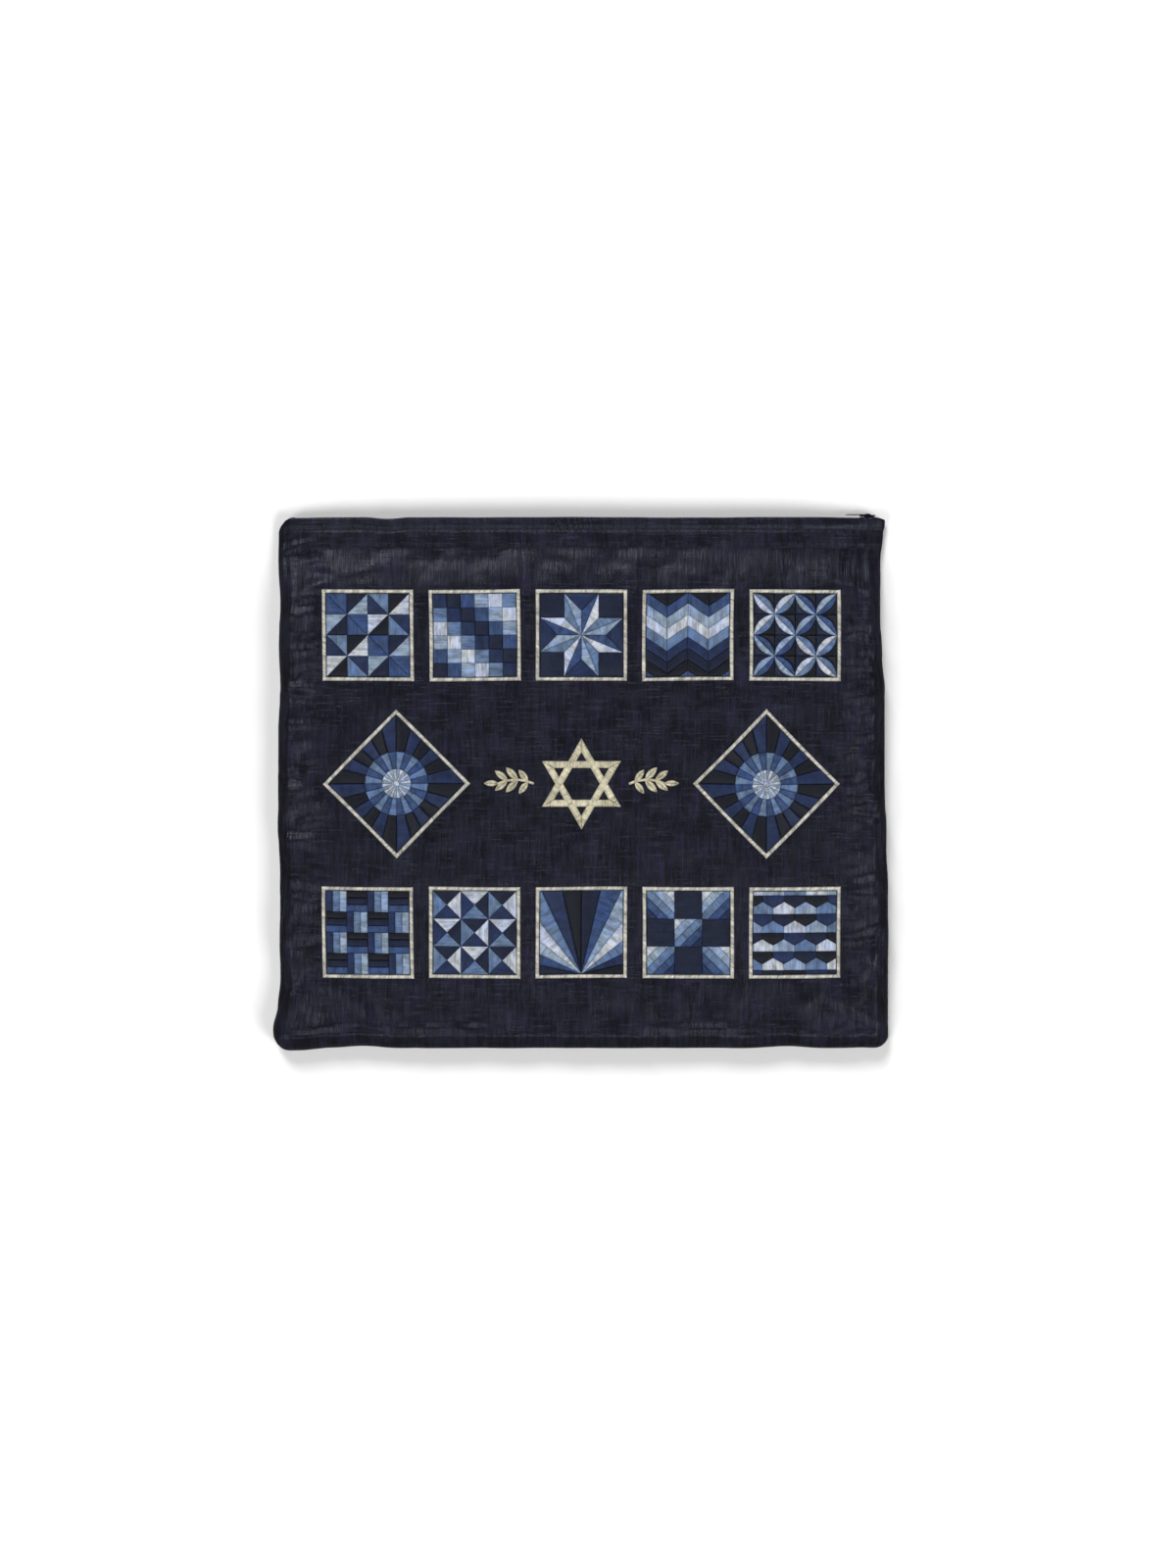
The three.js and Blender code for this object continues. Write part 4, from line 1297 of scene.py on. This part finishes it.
def sunburst():
    """Rays round a small middle, in three rings of tones."""
    rays, eye = 24, 0.06
    rings = ((eye, 0.3), (0.3, 0.66), (0.66, 3.0))
    yield [ring_point(eye, angle) for angle in np.linspace(0, 2 * math.pi, 12, endpoint=False)], 0, 6
    grades = ((5, 6), (3, 4), (0, 2))
    for k in range(rays):
        a, b = 2 * math.pi * k / rays, 2 * math.pi * (k + 1) / rays
        for ring, ((near, far), tones) in enumerate(zip(rings, grades)):
            shape = clipped([ring_point(*corner) for corner in ((near, a), (far, a), (far, b), (near, b))])
            if shape:
                yield shape, math.degrees((a + b) / 2) + 90, tones[(k + ring) % 2]


MOTIFS = {
    "top_1": pinwheels, "top_2": checkers, "top_3": eight_point_star, "top_4": chevrons, "top_5": petals,
    "bottom_1": basket, "bottom_2": hourglasses, "bottom_3": fan, "bottom_4": striped_nine,
    "bottom_5": honeycomb, "left": sunburst, "right": sunburst,
}


# Seeds of the edgings, the star and the sprigs, counted on from the stitching's own.
EDGING_SEED = 100
STAR_SEED = 300
SPRIG_SEED = 400


class Stitching:
    """Gathers the stitched shapes of one piece, in its own plan, with heights above the silk."""

    # Places of points over a rounded edge, how far the first lies inside it, the closest two lines, and
    # the most by which a shape's own threads shift in the thread pattern, in metres.
    STATIONS = np.array((0, 0.15, 0.5, 1.0))
    NIP = 0.02 * MM
    CLOSEST = 0.06 * MM
    THREAD_SHIFT = 0.4

    # Satin stitch: the most of a thread that rounds off at each end, how heights differ between shapes,
    # how long a thread must be for the full height and how low it is else, how much it bulges, and the
    # half width of what it passes over.
    MOST_ROUNDING = 0.42
    HEIGHTS = (0.92, 1.06)
    FULL_LONG = 1.2 * MM
    LEAST_HEIGHT = 0.25
    BULGE = 0.14
    CROSSING = 2.9 * MM

    # Corded stitch: points round half of it, the slant of its ridges, their height and width as shares,
    # and how slowly and how much the whole varies.
    AROUND = 8
    SLANT = 0.45
    RIDGE_HEIGHT = 0.09
    RIDGE_WIDTH = 0.05
    UNEVEN = 0.05
    UNEVEN_LENGTH = 7 * MM

    def __init__(self, look, seed):
        self.look = look
        self.draws = np.random.default_rng(seed)
        self.points, self.faces, self.threads, self.tones = [], [], [], []
        self.count = 0

    def add(self, plan, height, threads, tone):
        """One grid of points, wrapped where the threads' grid has a row more than it."""
        points = np.concatenate((plan, (height - self.look.sink)[..., None]), -1)
        if len(threads) > len(points):
            points = np.concatenate((points, points[:1]))
        rows, columns = points.shape[:2]
        faces = grid_faces(rows, columns)
        self.points.append(points.reshape(-1, 3))
        self.threads.append(threads.reshape(-1, 2) + self.draws.uniform(0, self.THREAD_SHIFT, 2))
        self.faces.append(faces + self.count)
        self.tones.append(np.full(len(faces), tone))
        self.count += rows * columns

    def satin(self, outline, angle, tone, top, reach, weave=()):
        """One shape filled with parallel threads at an angle. It rounds off at its edges into the silk.

        weave lists places along the shape, across its threads, with the height that it gains there."""
        ahead = np.array(ring_point(1, math.radians(angle)))
        sideways = np.array((-ahead[1], ahead[0]))
        corners = np.asarray(outline, float)
        t, o = corners @ ahead, corners @ sideways
        low, high = o.min(), o.max()
        if high - low < 4 * self.CLOSEST:
            return
        side = min(reach, (high - low) / 3)
        even = np.linspace(low, high, max(2, math.ceil((high - low) / self.look.slice)) + 1)
        rounded = side * self.STATIONS[1:]
        lines = np.sort(np.concatenate((even, o, low + rounded, high - rounded)))
        lines = np.clip(lines, low + self.NIP, high - self.NIP)
        lines = lines[np.concatenate(((True,), np.diff(lines) > self.CLOSEST))]
        lines[-1] = high - self.NIP
        t_next, o_next = np.roll(t, -1), np.roll(o, -1)
        level = abs(o_next - o) < 1e-9
        share = (lines[:, None] - o) / np.where(level, 1, o_next - o)
        crossed = (share >= 0) & (share <= 1) & ~level
        cut = t + share * (t_next - t)
        start = np.where(crossed, cut, np.inf).min(1)[:, None]
        end = np.where(crossed, cut, -np.inf).max(1)[:, None]
        long = end - start
        own_reach = np.minimum(reach, self.MOST_ROUNDING * long) * self.STATIONS
        along = np.concatenate((start + own_reach, (start + end) / 2, end - own_reach[:, ::-1]), 1)
        over_ends = roll(np.concatenate((self.STATIONS, (1,), self.STATIONS[::-1])), 1)
        over_sides = roll(np.minimum(lines - low, high - lines) - self.NIP, side)
        tall = top * self.draws.uniform(*self.HEIGHTS) * np.clip(long / self.FULL_LONG, self.LEAST_HEIGHT, 1)
        bulge = 1 + self.BULGE * np.sin(np.pi * (along - start) / long)
        height = tall * over_sides[:, None] * over_ends * bulge
        for place, rise in weave:
            height += rise * np.exp(-((lines - place) / self.CROSSING) ** 4)[:, None] * over_ends
        plan = along[..., None] * ahead + lines[:, None, None] * sideways
        self.add(plan, height, paired(along, lines[:, None]), tone)

    def cord(self, path, width, top, pitch, tone, closed):
        """A raised line of slanting stitches along a path of evenly spaced points."""
        after, before = np.roll(path, -1, 0) - path, path - np.roll(path, 1, 0)
        if not closed:
            before[0], after[-1] = after[0], before[-1]
        after, before = unit(after), unit(before)
        ahead = (after + before) / (1 + (after * before).sum(1))[:, None]
        outward = np.stack((ahead[:, 1], -ahead[:, 0]), -1)
        along = run_of(path)
        around = np.linspace(0, math.pi, self.AROUND)
        across = np.cos(around) * width / 2
        slanted = along[:, None] + self.SLANT * across
        ridges = np.sin(2 * math.pi * slanted / pitch)
        phase = self.draws.uniform(0, 6)
        uneven = 1 + self.UNEVEN * np.sin(along / self.UNEVEN_LENGTH + phase)[:, None]
        ends = 1 if closed else roll(np.minimum(along, along[-1] - along), width / 2)[:, None]
        height = np.sin(around) * (top * (1 + self.RIDGE_HEIGHT * ridges)) * uneven * ends
        out = across * uneven * (1 + self.RIDGE_WIDTH * ridges)
        plan = path[:, None] + outward[:, None] * out[..., None]
        threads = paired(across, slanted)
        if closed:
            threads = np.concatenate((threads, threads[-1:] + (0, along[1])))
        self.add(plan, height, threads, tone)

    def onto(self, front, world):
        """All points on the creased front, with a plan position in the world for each."""
        points = np.concatenate(self.points)
        x, y = world(points[:, 0], points[:, 1])
        return np.stack((x, y, front.height(x, y) + points[:, 2]), -1)

    def piece(self, name, front, world, materials, replaced):
        faces, threads, tones = (np.concatenate(part) for part in (self.faces, self.threads, self.tones))
        points = self.onto(front, world)
        return add_piece(name, points, faces, materials, "thread", threads, tones, replaced=replaced)


def thread(context, name, colour_value, **finish):
    """The material of one thread, made once."""
    name = f"thread_{name}"
    look = context.scene.bag_stitches
    return kept_material(name, lambda: thread_material(name, colour_value, look, **finish))


def square_path(half, spacing):
    """Evenly spaced points round a square, counter-clockwise, with one at each corner."""
    side = [(x, -half) for x in np.linspace(-half, half, round(2 * half / spacing), endpoint=False)]
    return np.array([point for k in range(4) for point in turned(side, 0, 0, 90 * k)])


class BAG_OT_patches(bpy.types.Operator):
    """Make the framed patches, each a stitched motif inside a raised border"""

    bl_idname = "bag.patches"
    bl_label = "Patches"

    def execute(self, context):
        look = context.scene.bag_stitches
        _, _, front = bag_parts(context)
        tones = [thread(context, tone, getattr(look, tone), shine=0.38, cool=0.6) for tone in TONES]
        pale = thread(context, "border", look.border, shine=0.32, metal=0.25)
        for k, patch in enumerate(PATCHES):
            ground = Stitching(look, look.seed + k)
            for outline, angle, tone in MOTIFS[patch.name]():
                scaled = [(a * patch.inner, b * patch.inner) for a, b in outline]
                ground.satin(scaled, angle, tone, look.top, look.round_reach)
            ground.piece(f"stitched_{patch.name}", front, patch.world, tones, (f"field_{patch.name}",))
            edge = Stitching(look, look.seed + EDGING_SEED + k)
            middle = patch.outer - look.border_width / 2
            path = square_path(middle, look.border_pitch / 3)
            edge.cord(path, look.border_width, look.border_top, look.border_pitch, 0, True)
            edge.piece(f"edging_{patch.name}", front, patch.world, [pale], (f"border_{patch.name}",))
        return {"FINISHED"}


# A sprig's form as shares of its reach: its stem's length and bow, and each leaf's place along the
# stem, turn away from it in degrees, length and width. Then its stem's point spacing, width and height,
# and its leaves' points, height, rounding and slant of threads.
STEM_LONG = 0.71
STEM_BOW = 0.16
STEM_SPACING = 0.4 * MM
STEM_WIDTH = 1.5 * MM
STEM_TOP = 0.9 * MM
LEAF_POINTS = 8
LEAF_TOP = 1.0 * MM
LEAF_ROUNDING = 1.2 * MM
LEAF_SLANT = 55
LEAVES = (
    (0.16, 52, 0.3, 0.13), (0.16, -52, 0.3, 0.13), (0.44, 46, 0.34, 0.14), (0.44, -46, 0.34, 0.14),
    (0.72, 38, 0.32, 0.13), (0.72, -38, 0.32, 0.13), (0.96, 0, 0.3, 0.12),
)


class BAG_OT_ornament(bpy.types.Operator):
    """Make the star of two woven triangles and the sprig on each side of it"""

    bl_idname = "bag.ornament"
    bl_label = "Star and sprigs"

    def execute(self, context):
        look = context.scene.bag_stitches
        _, _, front = bag_parts(context)
        gold = thread(context, "gold", look.gold, shine=0.3, metal=0.15)
        low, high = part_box("star")
        middle_x, middle_y = (low.x + high.x) / 2, (low.y + high.y) / 2
        radius = (high.y - low.y) / 2

        def about_middle(a, b):
            return middle_x + a, middle_y + b

        star = Stitching(look, look.seed + STAR_SEED)
        inner = radius - 2 * look.band
        for triangle in (0, 60):
            for k in range(3):
                turn = triangle + 120 * k
                left, right = math.radians(turn + 210), math.radians(turn - 30)
                corners = ((radius, left), (radius, right), (inner, right), (inner, left))
                ends = [ring_point(*corner) for corner in corners]
                across = radius / (2 * math.sqrt(3))
                weave = ((across, look.weave), (-across, -look.weave))
                star.satin(ends, turn - 90, 0, look.band_top, look.band / 2, weave)
        star.piece("stitched_star", front, about_middle, [gold], ("star",))
        for name, side in (("sprig_left", -1), ("sprig_right", 1)):
            self.sprig(name, side, look, front, gold, about_middle)
        return {"FINISHED"}

    def sprig(self, name, side, look, front, gold, world):
        low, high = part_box(name)
        middle_x = world(0, 0)[0]
        near, far = sorted((abs(low.x - middle_x), abs(high.x - middle_x)))
        reach = far - near
        end = near + STEM_LONG * reach
        bow = STEM_BOW * reach

        def stem_at(share):
            return np.stack((mix(near, end, share), 2 * bow * share * (1 - share)), -1) * (side, 1)

        sprig = Stitching(look, look.seed + SPRIG_SEED + side)
        stem = stem_at(np.linspace(0, 1, round(STEM_LONG * reach / STEM_SPACING)))
        sprig.cord(stem, STEM_WIDTH, STEM_TOP, look.border_pitch, 0, False)
        swing = np.linspace(0, 1, LEAF_POINTS)
        for along, turn, long, wide in LEAVES:
            base = stem_at(np.array(along))
            for half in (1, -1):
                edge = [(reach * long * s, 2 * reach * wide * half * s * (1 - s)) for s in swing]
                outline = [(base[0] + side * x, base[1] + y) for x, y in turned(edge, 0, 0, turn)]
                slant = turn + LEAF_SLANT * half
                sprig.satin(outline, slant if side > 0 else 180 - slant, 0, LEAF_TOP, LEAF_ROUNDING)
        sprig.piece(f"stitched_{name}", front, world, [gold], (name,))


# One separate stitch: its sections and the sides of each, how far its middle rises as a share of its
# radius, how blunt its ends are, and the share of its section that an end keeps.
STITCH_SECTIONS = 6
STITCH_SIDES = 6
STITCH_RISE = 1.2
STITCH_BLUNT = 4
STITCH_END = 0.08


def stitch_row(path, normal, long, gap, radius, lift):
    """Separate stitches along a path: each a low rounded bar whose ends dip into the silk."""
    along = run_of(path)
    sections, sides = STITCH_SECTIONS, STITCH_SIDES
    points, faces, threads = [], [], []
    ring = np.linspace(0, 2 * math.pi, sides, endpoint=False)
    r, first = (part.ravel() for part in np.meshgrid(np.arange(sides), np.arange(sections - 1) * sides))
    beside = (r + 1) % sides
    quads = np.stack((first + r, first + beside, first + sides + beside, first + sides + r), -1)
    for k in range(int(along[-1] / (long + gap))):
        start = (k + 0.5) * (long + gap) - long / 2
        share = np.linspace(0, 1, sections)
        at = start + share * long
        middle = np.stack([np.interp(at, along, path[:, c]) for c in range(3)], -1)
        up = np.stack([np.interp(at, along, normal[:, c]) for c in range(3)], -1)
        sideways = np.cross(up, unit(middle[-1] - middle[0]))
        high = lift + radius * STITCH_RISE * np.sin(np.pi * share)
        thick = radius * np.sqrt(np.clip(1 - (2 * share - 1) ** STITCH_BLUNT, STITCH_END, 1))
        centre = middle + up * high[:, None]
        circle = centre[:, None] + thick[:, None, None] * (
            np.cos(ring)[:, None] * sideways[:, None, :] + np.sin(ring)[:, None] * up[:, None, :])
        points.append(circle.reshape(-1, 3))
        faces.append(quads + k * sections * sides)
        threads.append(paired(at[:, None], ring * radius).reshape(-1, 2))
    return (np.concatenate(part) for part in (points, faces, threads))


class BAG_OT_topstitch(bpy.types.Operator):
    """Make the rows of stitches that hold the hems of the mouth"""

    bl_idname = "bag.topstitch"
    bl_label = "Stitching of the mouth"

    REACH = 0.985
    POINTS = 420
    LONG = 2.6 * MM
    GAP = 0.8 * MM
    RADIUS = 0.24 * MM
    LIFT = -0.06 * MM

    def execute(self, context):
        body, creases, front = bag_parts(context)
        look = context.scene.bag_cloth
        hem_thread = thread(context, "hem", shade(look.slub, 0.8), shine=0.5)
        us = np.linspace(-self.REACH, self.REACH, self.POINTS)
        v = np.full_like(us, body.behind_mouth(look.hem))
        for name, face, relief, side in (
            ("hem_stitches_front", body.front, front.relief, 1),
            ("hem_stitches_back", body.back, creases.back, -1),
        ):
            near = face(np.tile(us, (3, 1)), np.stack((v - 0.01, v, v + 0.01)))
            normal = normals_of(near)[1] * side
            path = near[1] + normal * relief(us, v)[:, None]
            path[:, 2] = np.maximum(path[:, 2], 0)
            points, faces, threads = stitch_row(path, normal, self.LONG, self.GAP, self.RADIUS, self.LIFT)
            add_piece(name, points, faces, [hem_thread], "thread", threads, slot="cloth")
        return {"FINISHED"}


# How the tapes and coils are divided: a tape's points along and across it, and a coil's steps in each
# turn and sides of its wire.
TAPE_COLUMNS = 220
TAPE_ROWS = 9
COIL_STEPS = 10
COIL_SIDES = 5

# The slider's length as a share of its node's, and half outlines of its plate and of the neck
# between its plates: shares of the length, back from the nose, and of the height, out from the middle.
SLIDER_SHARE = 0.52
SLIDER_PLATE = (
    (0, 0.28), (0.04, 0.38), (0.14, 0.47), (0.3, 0.5), (0.66, 0.5), (0.82, 0.45), (0.94, 0.34), (1, 0.2),
)
SLIDER_NECK = ((0.12, 0.2), (0.5, 0.26), (0.7, 0.12))

# Where its parts start and end, as shares of its depth, from inside the bag outward.
INNER_PLATE = (0, 0.26)
OUTER_PLATE = (0.42, 0.68)
NECK_LEVELS = (0.2, 0.5)
PULL_LEVELS = (0.72, 0.86)

# The arch that holds the pull: its middle as a share of the length, its foot as a share of the depth,
# its half width as a share of the height, its outer and inner curves' reach along and out, and the
# points of each curve.
ARCH_MIDDLE = 0.5
ARCH_FOOT = 0.66
ARCH_HALF = 0.1
ARCH_OUTER = (0.26, 0.34)
ARCH_INNER = (0.17, 0.2)
ARCH_POINTS = 9

# The pull: where it starts along the slider, its half width, its width at the start as a share of that,
# how square its ends and sides are, its hole's middle, reach and half width, and its outline's points.
PULL_START = 0.33
PULL_HALF = 0.34
PULL_WAIST = 0.66
PULL_END_POWER = 0.6
PULL_SIDE_POWER = 0.7
EYE_MIDDLE = 0.62
EYE_REACH = 0.2
EYE_HALF = 0.17
PULL_POINTS = 28
ROUNDING = 0.12 * MM


def mirrored(half):
    """A closed outline from its upper half."""
    return [*half, *((s, -t) for s, t in reversed(half))]


def slab(outline, hole, start, end, axis):
    """Points and faces of a flat solid that runs from start to end along y or z, with or without a hole.

    A hole's outline has as many points as the solid's."""
    rings = [(outline, start), (outline, end)]
    if hole:
        rings += [(hole, end), (hole, start)]
    points = [(a, level, b) if axis == "y" else (a, b, level) for ring, level in rings for a, b in ring]
    count = len(outline)
    faces = []
    for k in range(len(rings) if hole else 1):
        here, there = k * count, (k + 1) % len(rings) * count
        for i in range(count):
            beside = (i + 1) % count
            faces.append((here + i, here + beside, there + beside, there + i))
    if not hole:
        faces += [tuple(range(count)), tuple(range(count, 2 * count))]
    return points, faces


class BAG_OT_zip(bpy.types.Operator):
    """Make the zip: two woven tapes, two coils and a slider with its pull"""

    bl_idname = "bag.zip"
    bl_label = "Zip"

    def execute(self, context):
        body, _, _ = bag_parts(context)
        look = context.scene.bag_zip
        woven = tape_material(look)
        nylon = moulded_material("zip_coil_nylon", look.coil, rough=0.32, metal=0.0)
        enamel = moulded_material("zip_enamel", look.metal, rough=0.3, metal=0.85)
        for name, face, side in (("front", body.front, 1), ("back", body.back, -1)):
            self.tape(name, body, face, side, look, woven)
            self.coil(name, body, face, side, look, nylon)
        self.slider(enamel)
        return {"FINISHED"}

    @staticmethod
    def tape(name, body, face, side, look, woven):
        """A thin closed strip along the inner face of a lip."""
        reach = 1 - look.end_inset / body.half_width
        us = np.linspace(-reach, reach, TAPE_COLUMNS)
        backs = look.setback + look.tape_width * np.linspace(0, 1, TAPE_ROWS)
        u, back = np.meshgrid(us, backs)
        inner = face(u, body.behind_mouth(back), body.form.wall)
        over = inner.copy()
        over[..., 2] -= side * look.gap
        under = over.copy()
        under[..., 2] -= side * look.tape_thickness
        ring = np.concatenate((over, under[::-1]))
        faces = grid_faces(len(ring), len(us), wrapped=True)
        if side < 0:
            faces = faces[:, ::-1]
        around = np.concatenate((backs, backs[::-1]))
        uv = paired(us * body.half_width, around[:, None])
        piece = add_piece(f"tape_{name}", ring, faces, [woven], "cloth", uv, replaced=(f"zip_tape_{name}",))

    @staticmethod
    def coil(name, body, face, side, look, nylon):
        """A flattened helix of nylon along the tape's edge."""
        reach = body.half_width - look.end_inset
        turns = round(2 * reach / look.coil_pitch)
        angle = np.linspace(0, 2 * math.pi * turns, turns * COIL_STEPS + 1)
        u = np.linspace(-reach, reach, len(angle)) / body.half_width
        back = look.setback + look.coil_width / 2
        base = face(u, np.full_like(u, body.behind_mouth(back)), body.form.wall)
        room = (look.coil_height - look.tape_thickness) / 2 - look.wire / 2
        depth = look.gap + look.tape_thickness + look.wire / 2 + room
        centre = base + np.stack((
            np.zeros_like(u),
            np.cos(angle) * (look.coil_width - look.wire) / 2,
            -side * (depth + room * np.sin(angle)),
        ), -1)
        ahead = unit(np.gradient(centre, axis=0))
        first = unit(np.cross(ahead, (1.0, 0, 0)))
        second = np.cross(ahead, first)
        ring = np.linspace(0, 2 * math.pi, COIL_SIDES + 1)
        circle = centre[:, None] + look.wire / 2 * (
            np.cos(ring)[:, None] * first[:, None, :] + np.sin(ring)[:, None] * second[:, None, :])
        uv = paired(angle[:, None] * MM, ring * MM)
        faces = grid_faces(*circle.shape[:2])
        add_piece(f"coil_{name}", circle, faces, [nylon], "cloth", uv, slot="zip_tape")

    @staticmethod
    def slider(enamel):
        """Two plates joined by a neck, and an arch that holds a pierced pull lying along the coil."""
        low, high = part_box("zip_slider")
        deep, tall = high.y - low.y, high.z - low.z
        middle_z = (low.z + high.z) / 2
        long = SLIDER_SHARE * (high.x - low.x)

        def across(shape):
            """An outline in shares of the slider's length, back from its nose, and of its height."""
            return [(high.x - s * long, middle_z + t * tall) for s, t in shape]

        def levels(shares):
            return [low.y + share * deep for share in shares]

        def arc(start, end, reach, rise):
            """A curve of the arch, along the slider and out from it."""
            foot = levels((ARCH_FOOT,))[0]
            return [(high.x - (ARCH_MIDDLE + reach * math.cos(a)) * long, foot + math.sin(a) * rise * deep)
                    for a in np.linspace(start, end, ARCH_POINTS)]

        plate, neck = across(mirrored(SLIDER_PLATE)), across(mirrored(SLIDER_NECK))
        arch = arc(0, math.pi, *ARCH_OUTER) + arc(math.pi, 0, *ARCH_INNER)
        arch_sides = (middle_z - ARCH_HALF * tall, middle_z + ARCH_HALF * tall)
        pull_start = high.x - PULL_START * long
        tab, eye = [], []
        for a in np.linspace(0, 2 * math.pi, PULL_POINTS, endpoint=False):
            c, s = ring_point(1, a)
            flare = mix(PULL_WAIST, 1, float(smooth(-c, -1, 1)))
            along = 0.5 - 0.5 * math.copysign(abs(c) ** PULL_END_POWER, c)
            half = PULL_HALF * tall * flare * math.copysign(abs(s) ** PULL_SIDE_POWER, s)
            tab.append((pull_start - along * (pull_start - low.x), middle_z + half))
            eye.append((high.x - (EYE_MIDDLE - EYE_REACH * c) * long, middle_z + EYE_HALF * tall * s))
        solids = (
            (plate, None, levels(INNER_PLATE), "y"), (plate, None, levels(OUTER_PLATE), "y"),
            (neck, None, levels(NECK_LEVELS), "y"), (arch, None, arch_sides, "z"),
            (tab, eye, levels(PULL_LEVELS), "y"),
        )
        points, faces = [], []
        for outline, hole, ends, axis in solids:
            more_points, more_faces = slab(outline, hole, *ends, axis)
            faces += [tuple(len(points) + k for k in face) for face in more_faces]
            points += more_points
        data = bpy.data.meshes.new("slider")
        data.from_pydata(points, [], faces)
        shape = bmesh.new()
        shape.from_mesh(data)
        bmesh.ops.recalc_face_normals(shape, faces=shape.faces)
        shape.to_mesh(data)
        shape.free()
        data.materials.append(enamel)
        piece = linked("slider", data)
        rounding = piece.modifiers.new("rounding", "BEVEL")
        rounding.width = ROUNDING
        rounding.segments = 2
        rounding.limit_method = "ANGLE"
        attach(piece, BODY)
        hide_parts("zip_slider")


# The floor's half size and level, just under the back's lowest stitches, and the level half-way up the
# bag at which the picture's height is taken.
FLOOR_HALF = 40.0
FLOOR_LEVEL = -0.6 * MM
PICTURE_LEVEL = 12 * MM

# Each light: the property that gives its strength and the share of it, where it shines from, and its
# width in degrees.
LIGHTS = {
    "key_light": ("key", 1.0, (-0.5, 1.5, 1.6), 20),
    "fill_light_left": ("fill", 0.68, (-1.2, -1.0, 1.6), 25),
    "fill_light_right": ("fill", 1.16, (1.4, -0.9, 1.6), 25),
}

# Heights on a unit sphere between which the even light turns from one strength to the next.
TO_WALLS = (0.04, 0.16)
TO_SKY = (0.1, 0.45)
FROM_BELOW = (-0.06, -0.015)


class BAG_OT_stage(bpy.types.Operator):
    """Make the floor, the soft lights and the camera straight above the bag"""

    bl_idname = "bag.stage"
    bl_label = "Stage"

    def execute(self, context):
        stage = context.scene.bag_stage
        self.floor(stage)
        for name, (strength, share, place, degrees) in LIGHTS.items():
            self.light(name, getattr(stage, strength) * share, place, degrees)
        self.studio(context.scene, stage)
        context.scene.view_settings.view_transform = "Standard"
        self.camera(stage)
        return {"FINISHED"}

    @staticmethod
    def floor(stage):
        data = bpy.data.meshes.new("floor")
        corners = box_outline(0, 0, FLOOR_HALF, FLOOR_HALF)
        data.from_pydata([(x, y, 0) for x, y in corners], [], [range(len(corners))])
        data.materials.append(floor_material(stage))
        floor = linked("floor", data)
        floor.location.z = FLOOR_LEVEL
        floor.visible_glossy = False

    @staticmethod
    def studio(scene, stage):
        """Even light from all round, brightest at the horizon and dimmest overhead and underneath."""
        graph = Graph("studio", bpy.data.worlds)
        up = graph.parts(graph.place(graph.GENERATED))[2]
        walls = mix(stage.horizon, stage.walls, up.eased(*TO_WALLS))
        level = mix(walls, stage.sky, up.eased(*TO_SKY))
        lit = mix(stage.below, level, up.eased(*FROM_BELOW))
        light = graph.node("ShaderNodeBackground", {}, {"Strength": lit})[0]
        graph.node("ShaderNodeOutputWorld", {}, {"Surface": light})
        scene.world = graph.block

    @staticmethod
    def light(name, strength, place, degrees):
        """A broad sun that shines from a place towards the bag, as wide in the sky as it is soft."""
        data = bpy.data.lights.new(name, "SUN")
        data.energy = strength
        data.angle = math.radians(degrees)
        lamp = linked(name, data)
        lamp.location = place
        lamp.rotation_euler = (-Vector(place)).to_track_quat("-Z", "Y").to_euler()

    @staticmethod
    def camera(stage):
        data = bpy.data.cameras.new("camera")
        data.lens = stage.lens
        data.sensor_fit = "AUTO"
        camera = linked("camera", data)
        distance = stage.picture_height * stage.lens / data.sensor_width
        camera.location = (stage.offset_right, -stage.offset_down, distance + PICTURE_LEVEL)
        bpy.context.scene.camera = camera


class BAG_PT_panel(bpy.types.Panel):
    """Lists the bag's pieces and the stage"""

    bl_idname = "BAG_PT_panel"
    bl_label = "Prayer shawl bag"
    bl_space_type = "VIEW_3D"
    bl_region_type = "UI"
    bl_category = "Bag"

    def draw(self, context):
        layout = self.layout
        for operator in OPERATORS:
            layout.operator(operator.bl_idname)
        for group in SETTINGS:
            settings = getattr(context.scene, group)
            box = layout.box()
            for key in settings.bl_rna.properties.keys():
                if key not in ("rna_type", "name"):
                    box.prop(settings, key)


SETTINGS = {
    "bag_form": BagForm,
    "bag_cloth": ClothLook,
    "bag_stitches": StitchLook,
    "bag_zip": ZipLook,
    "bag_stage": StageLook,
}
OPERATORS = (
    BAG_OT_stage, BAG_OT_front, BAG_OT_back, BAG_OT_patches, BAG_OT_ornament, BAG_OT_topstitch, BAG_OT_zip,
)


def register():
    for group in (*SETTINGS.values(), *OPERATORS, BAG_PT_panel):
        bpy.utils.register_class(group)
    for name, group in SETTINGS.items():
        setattr(bpy.types.Scene, name, PointerProperty(type=group))


def unregister():
    for name in SETTINGS:
        delattr(bpy.types.Scene, name)
    for group in (BAG_PT_panel, *OPERATORS, *SETTINGS.values()):
        bpy.utils.unregister_class(group)


def main():
    """Make everything."""
    register()
    bpy.ops.bag.stage()
    bpy.ops.bag.front()
    bpy.ops.bag.back()
    bpy.ops.bag.patches()
    bpy.ops.bag.ornament()
    bpy.ops.bag.topstitch()
    bpy.ops.bag.zip()


if __name__ == "__main__":
    main()
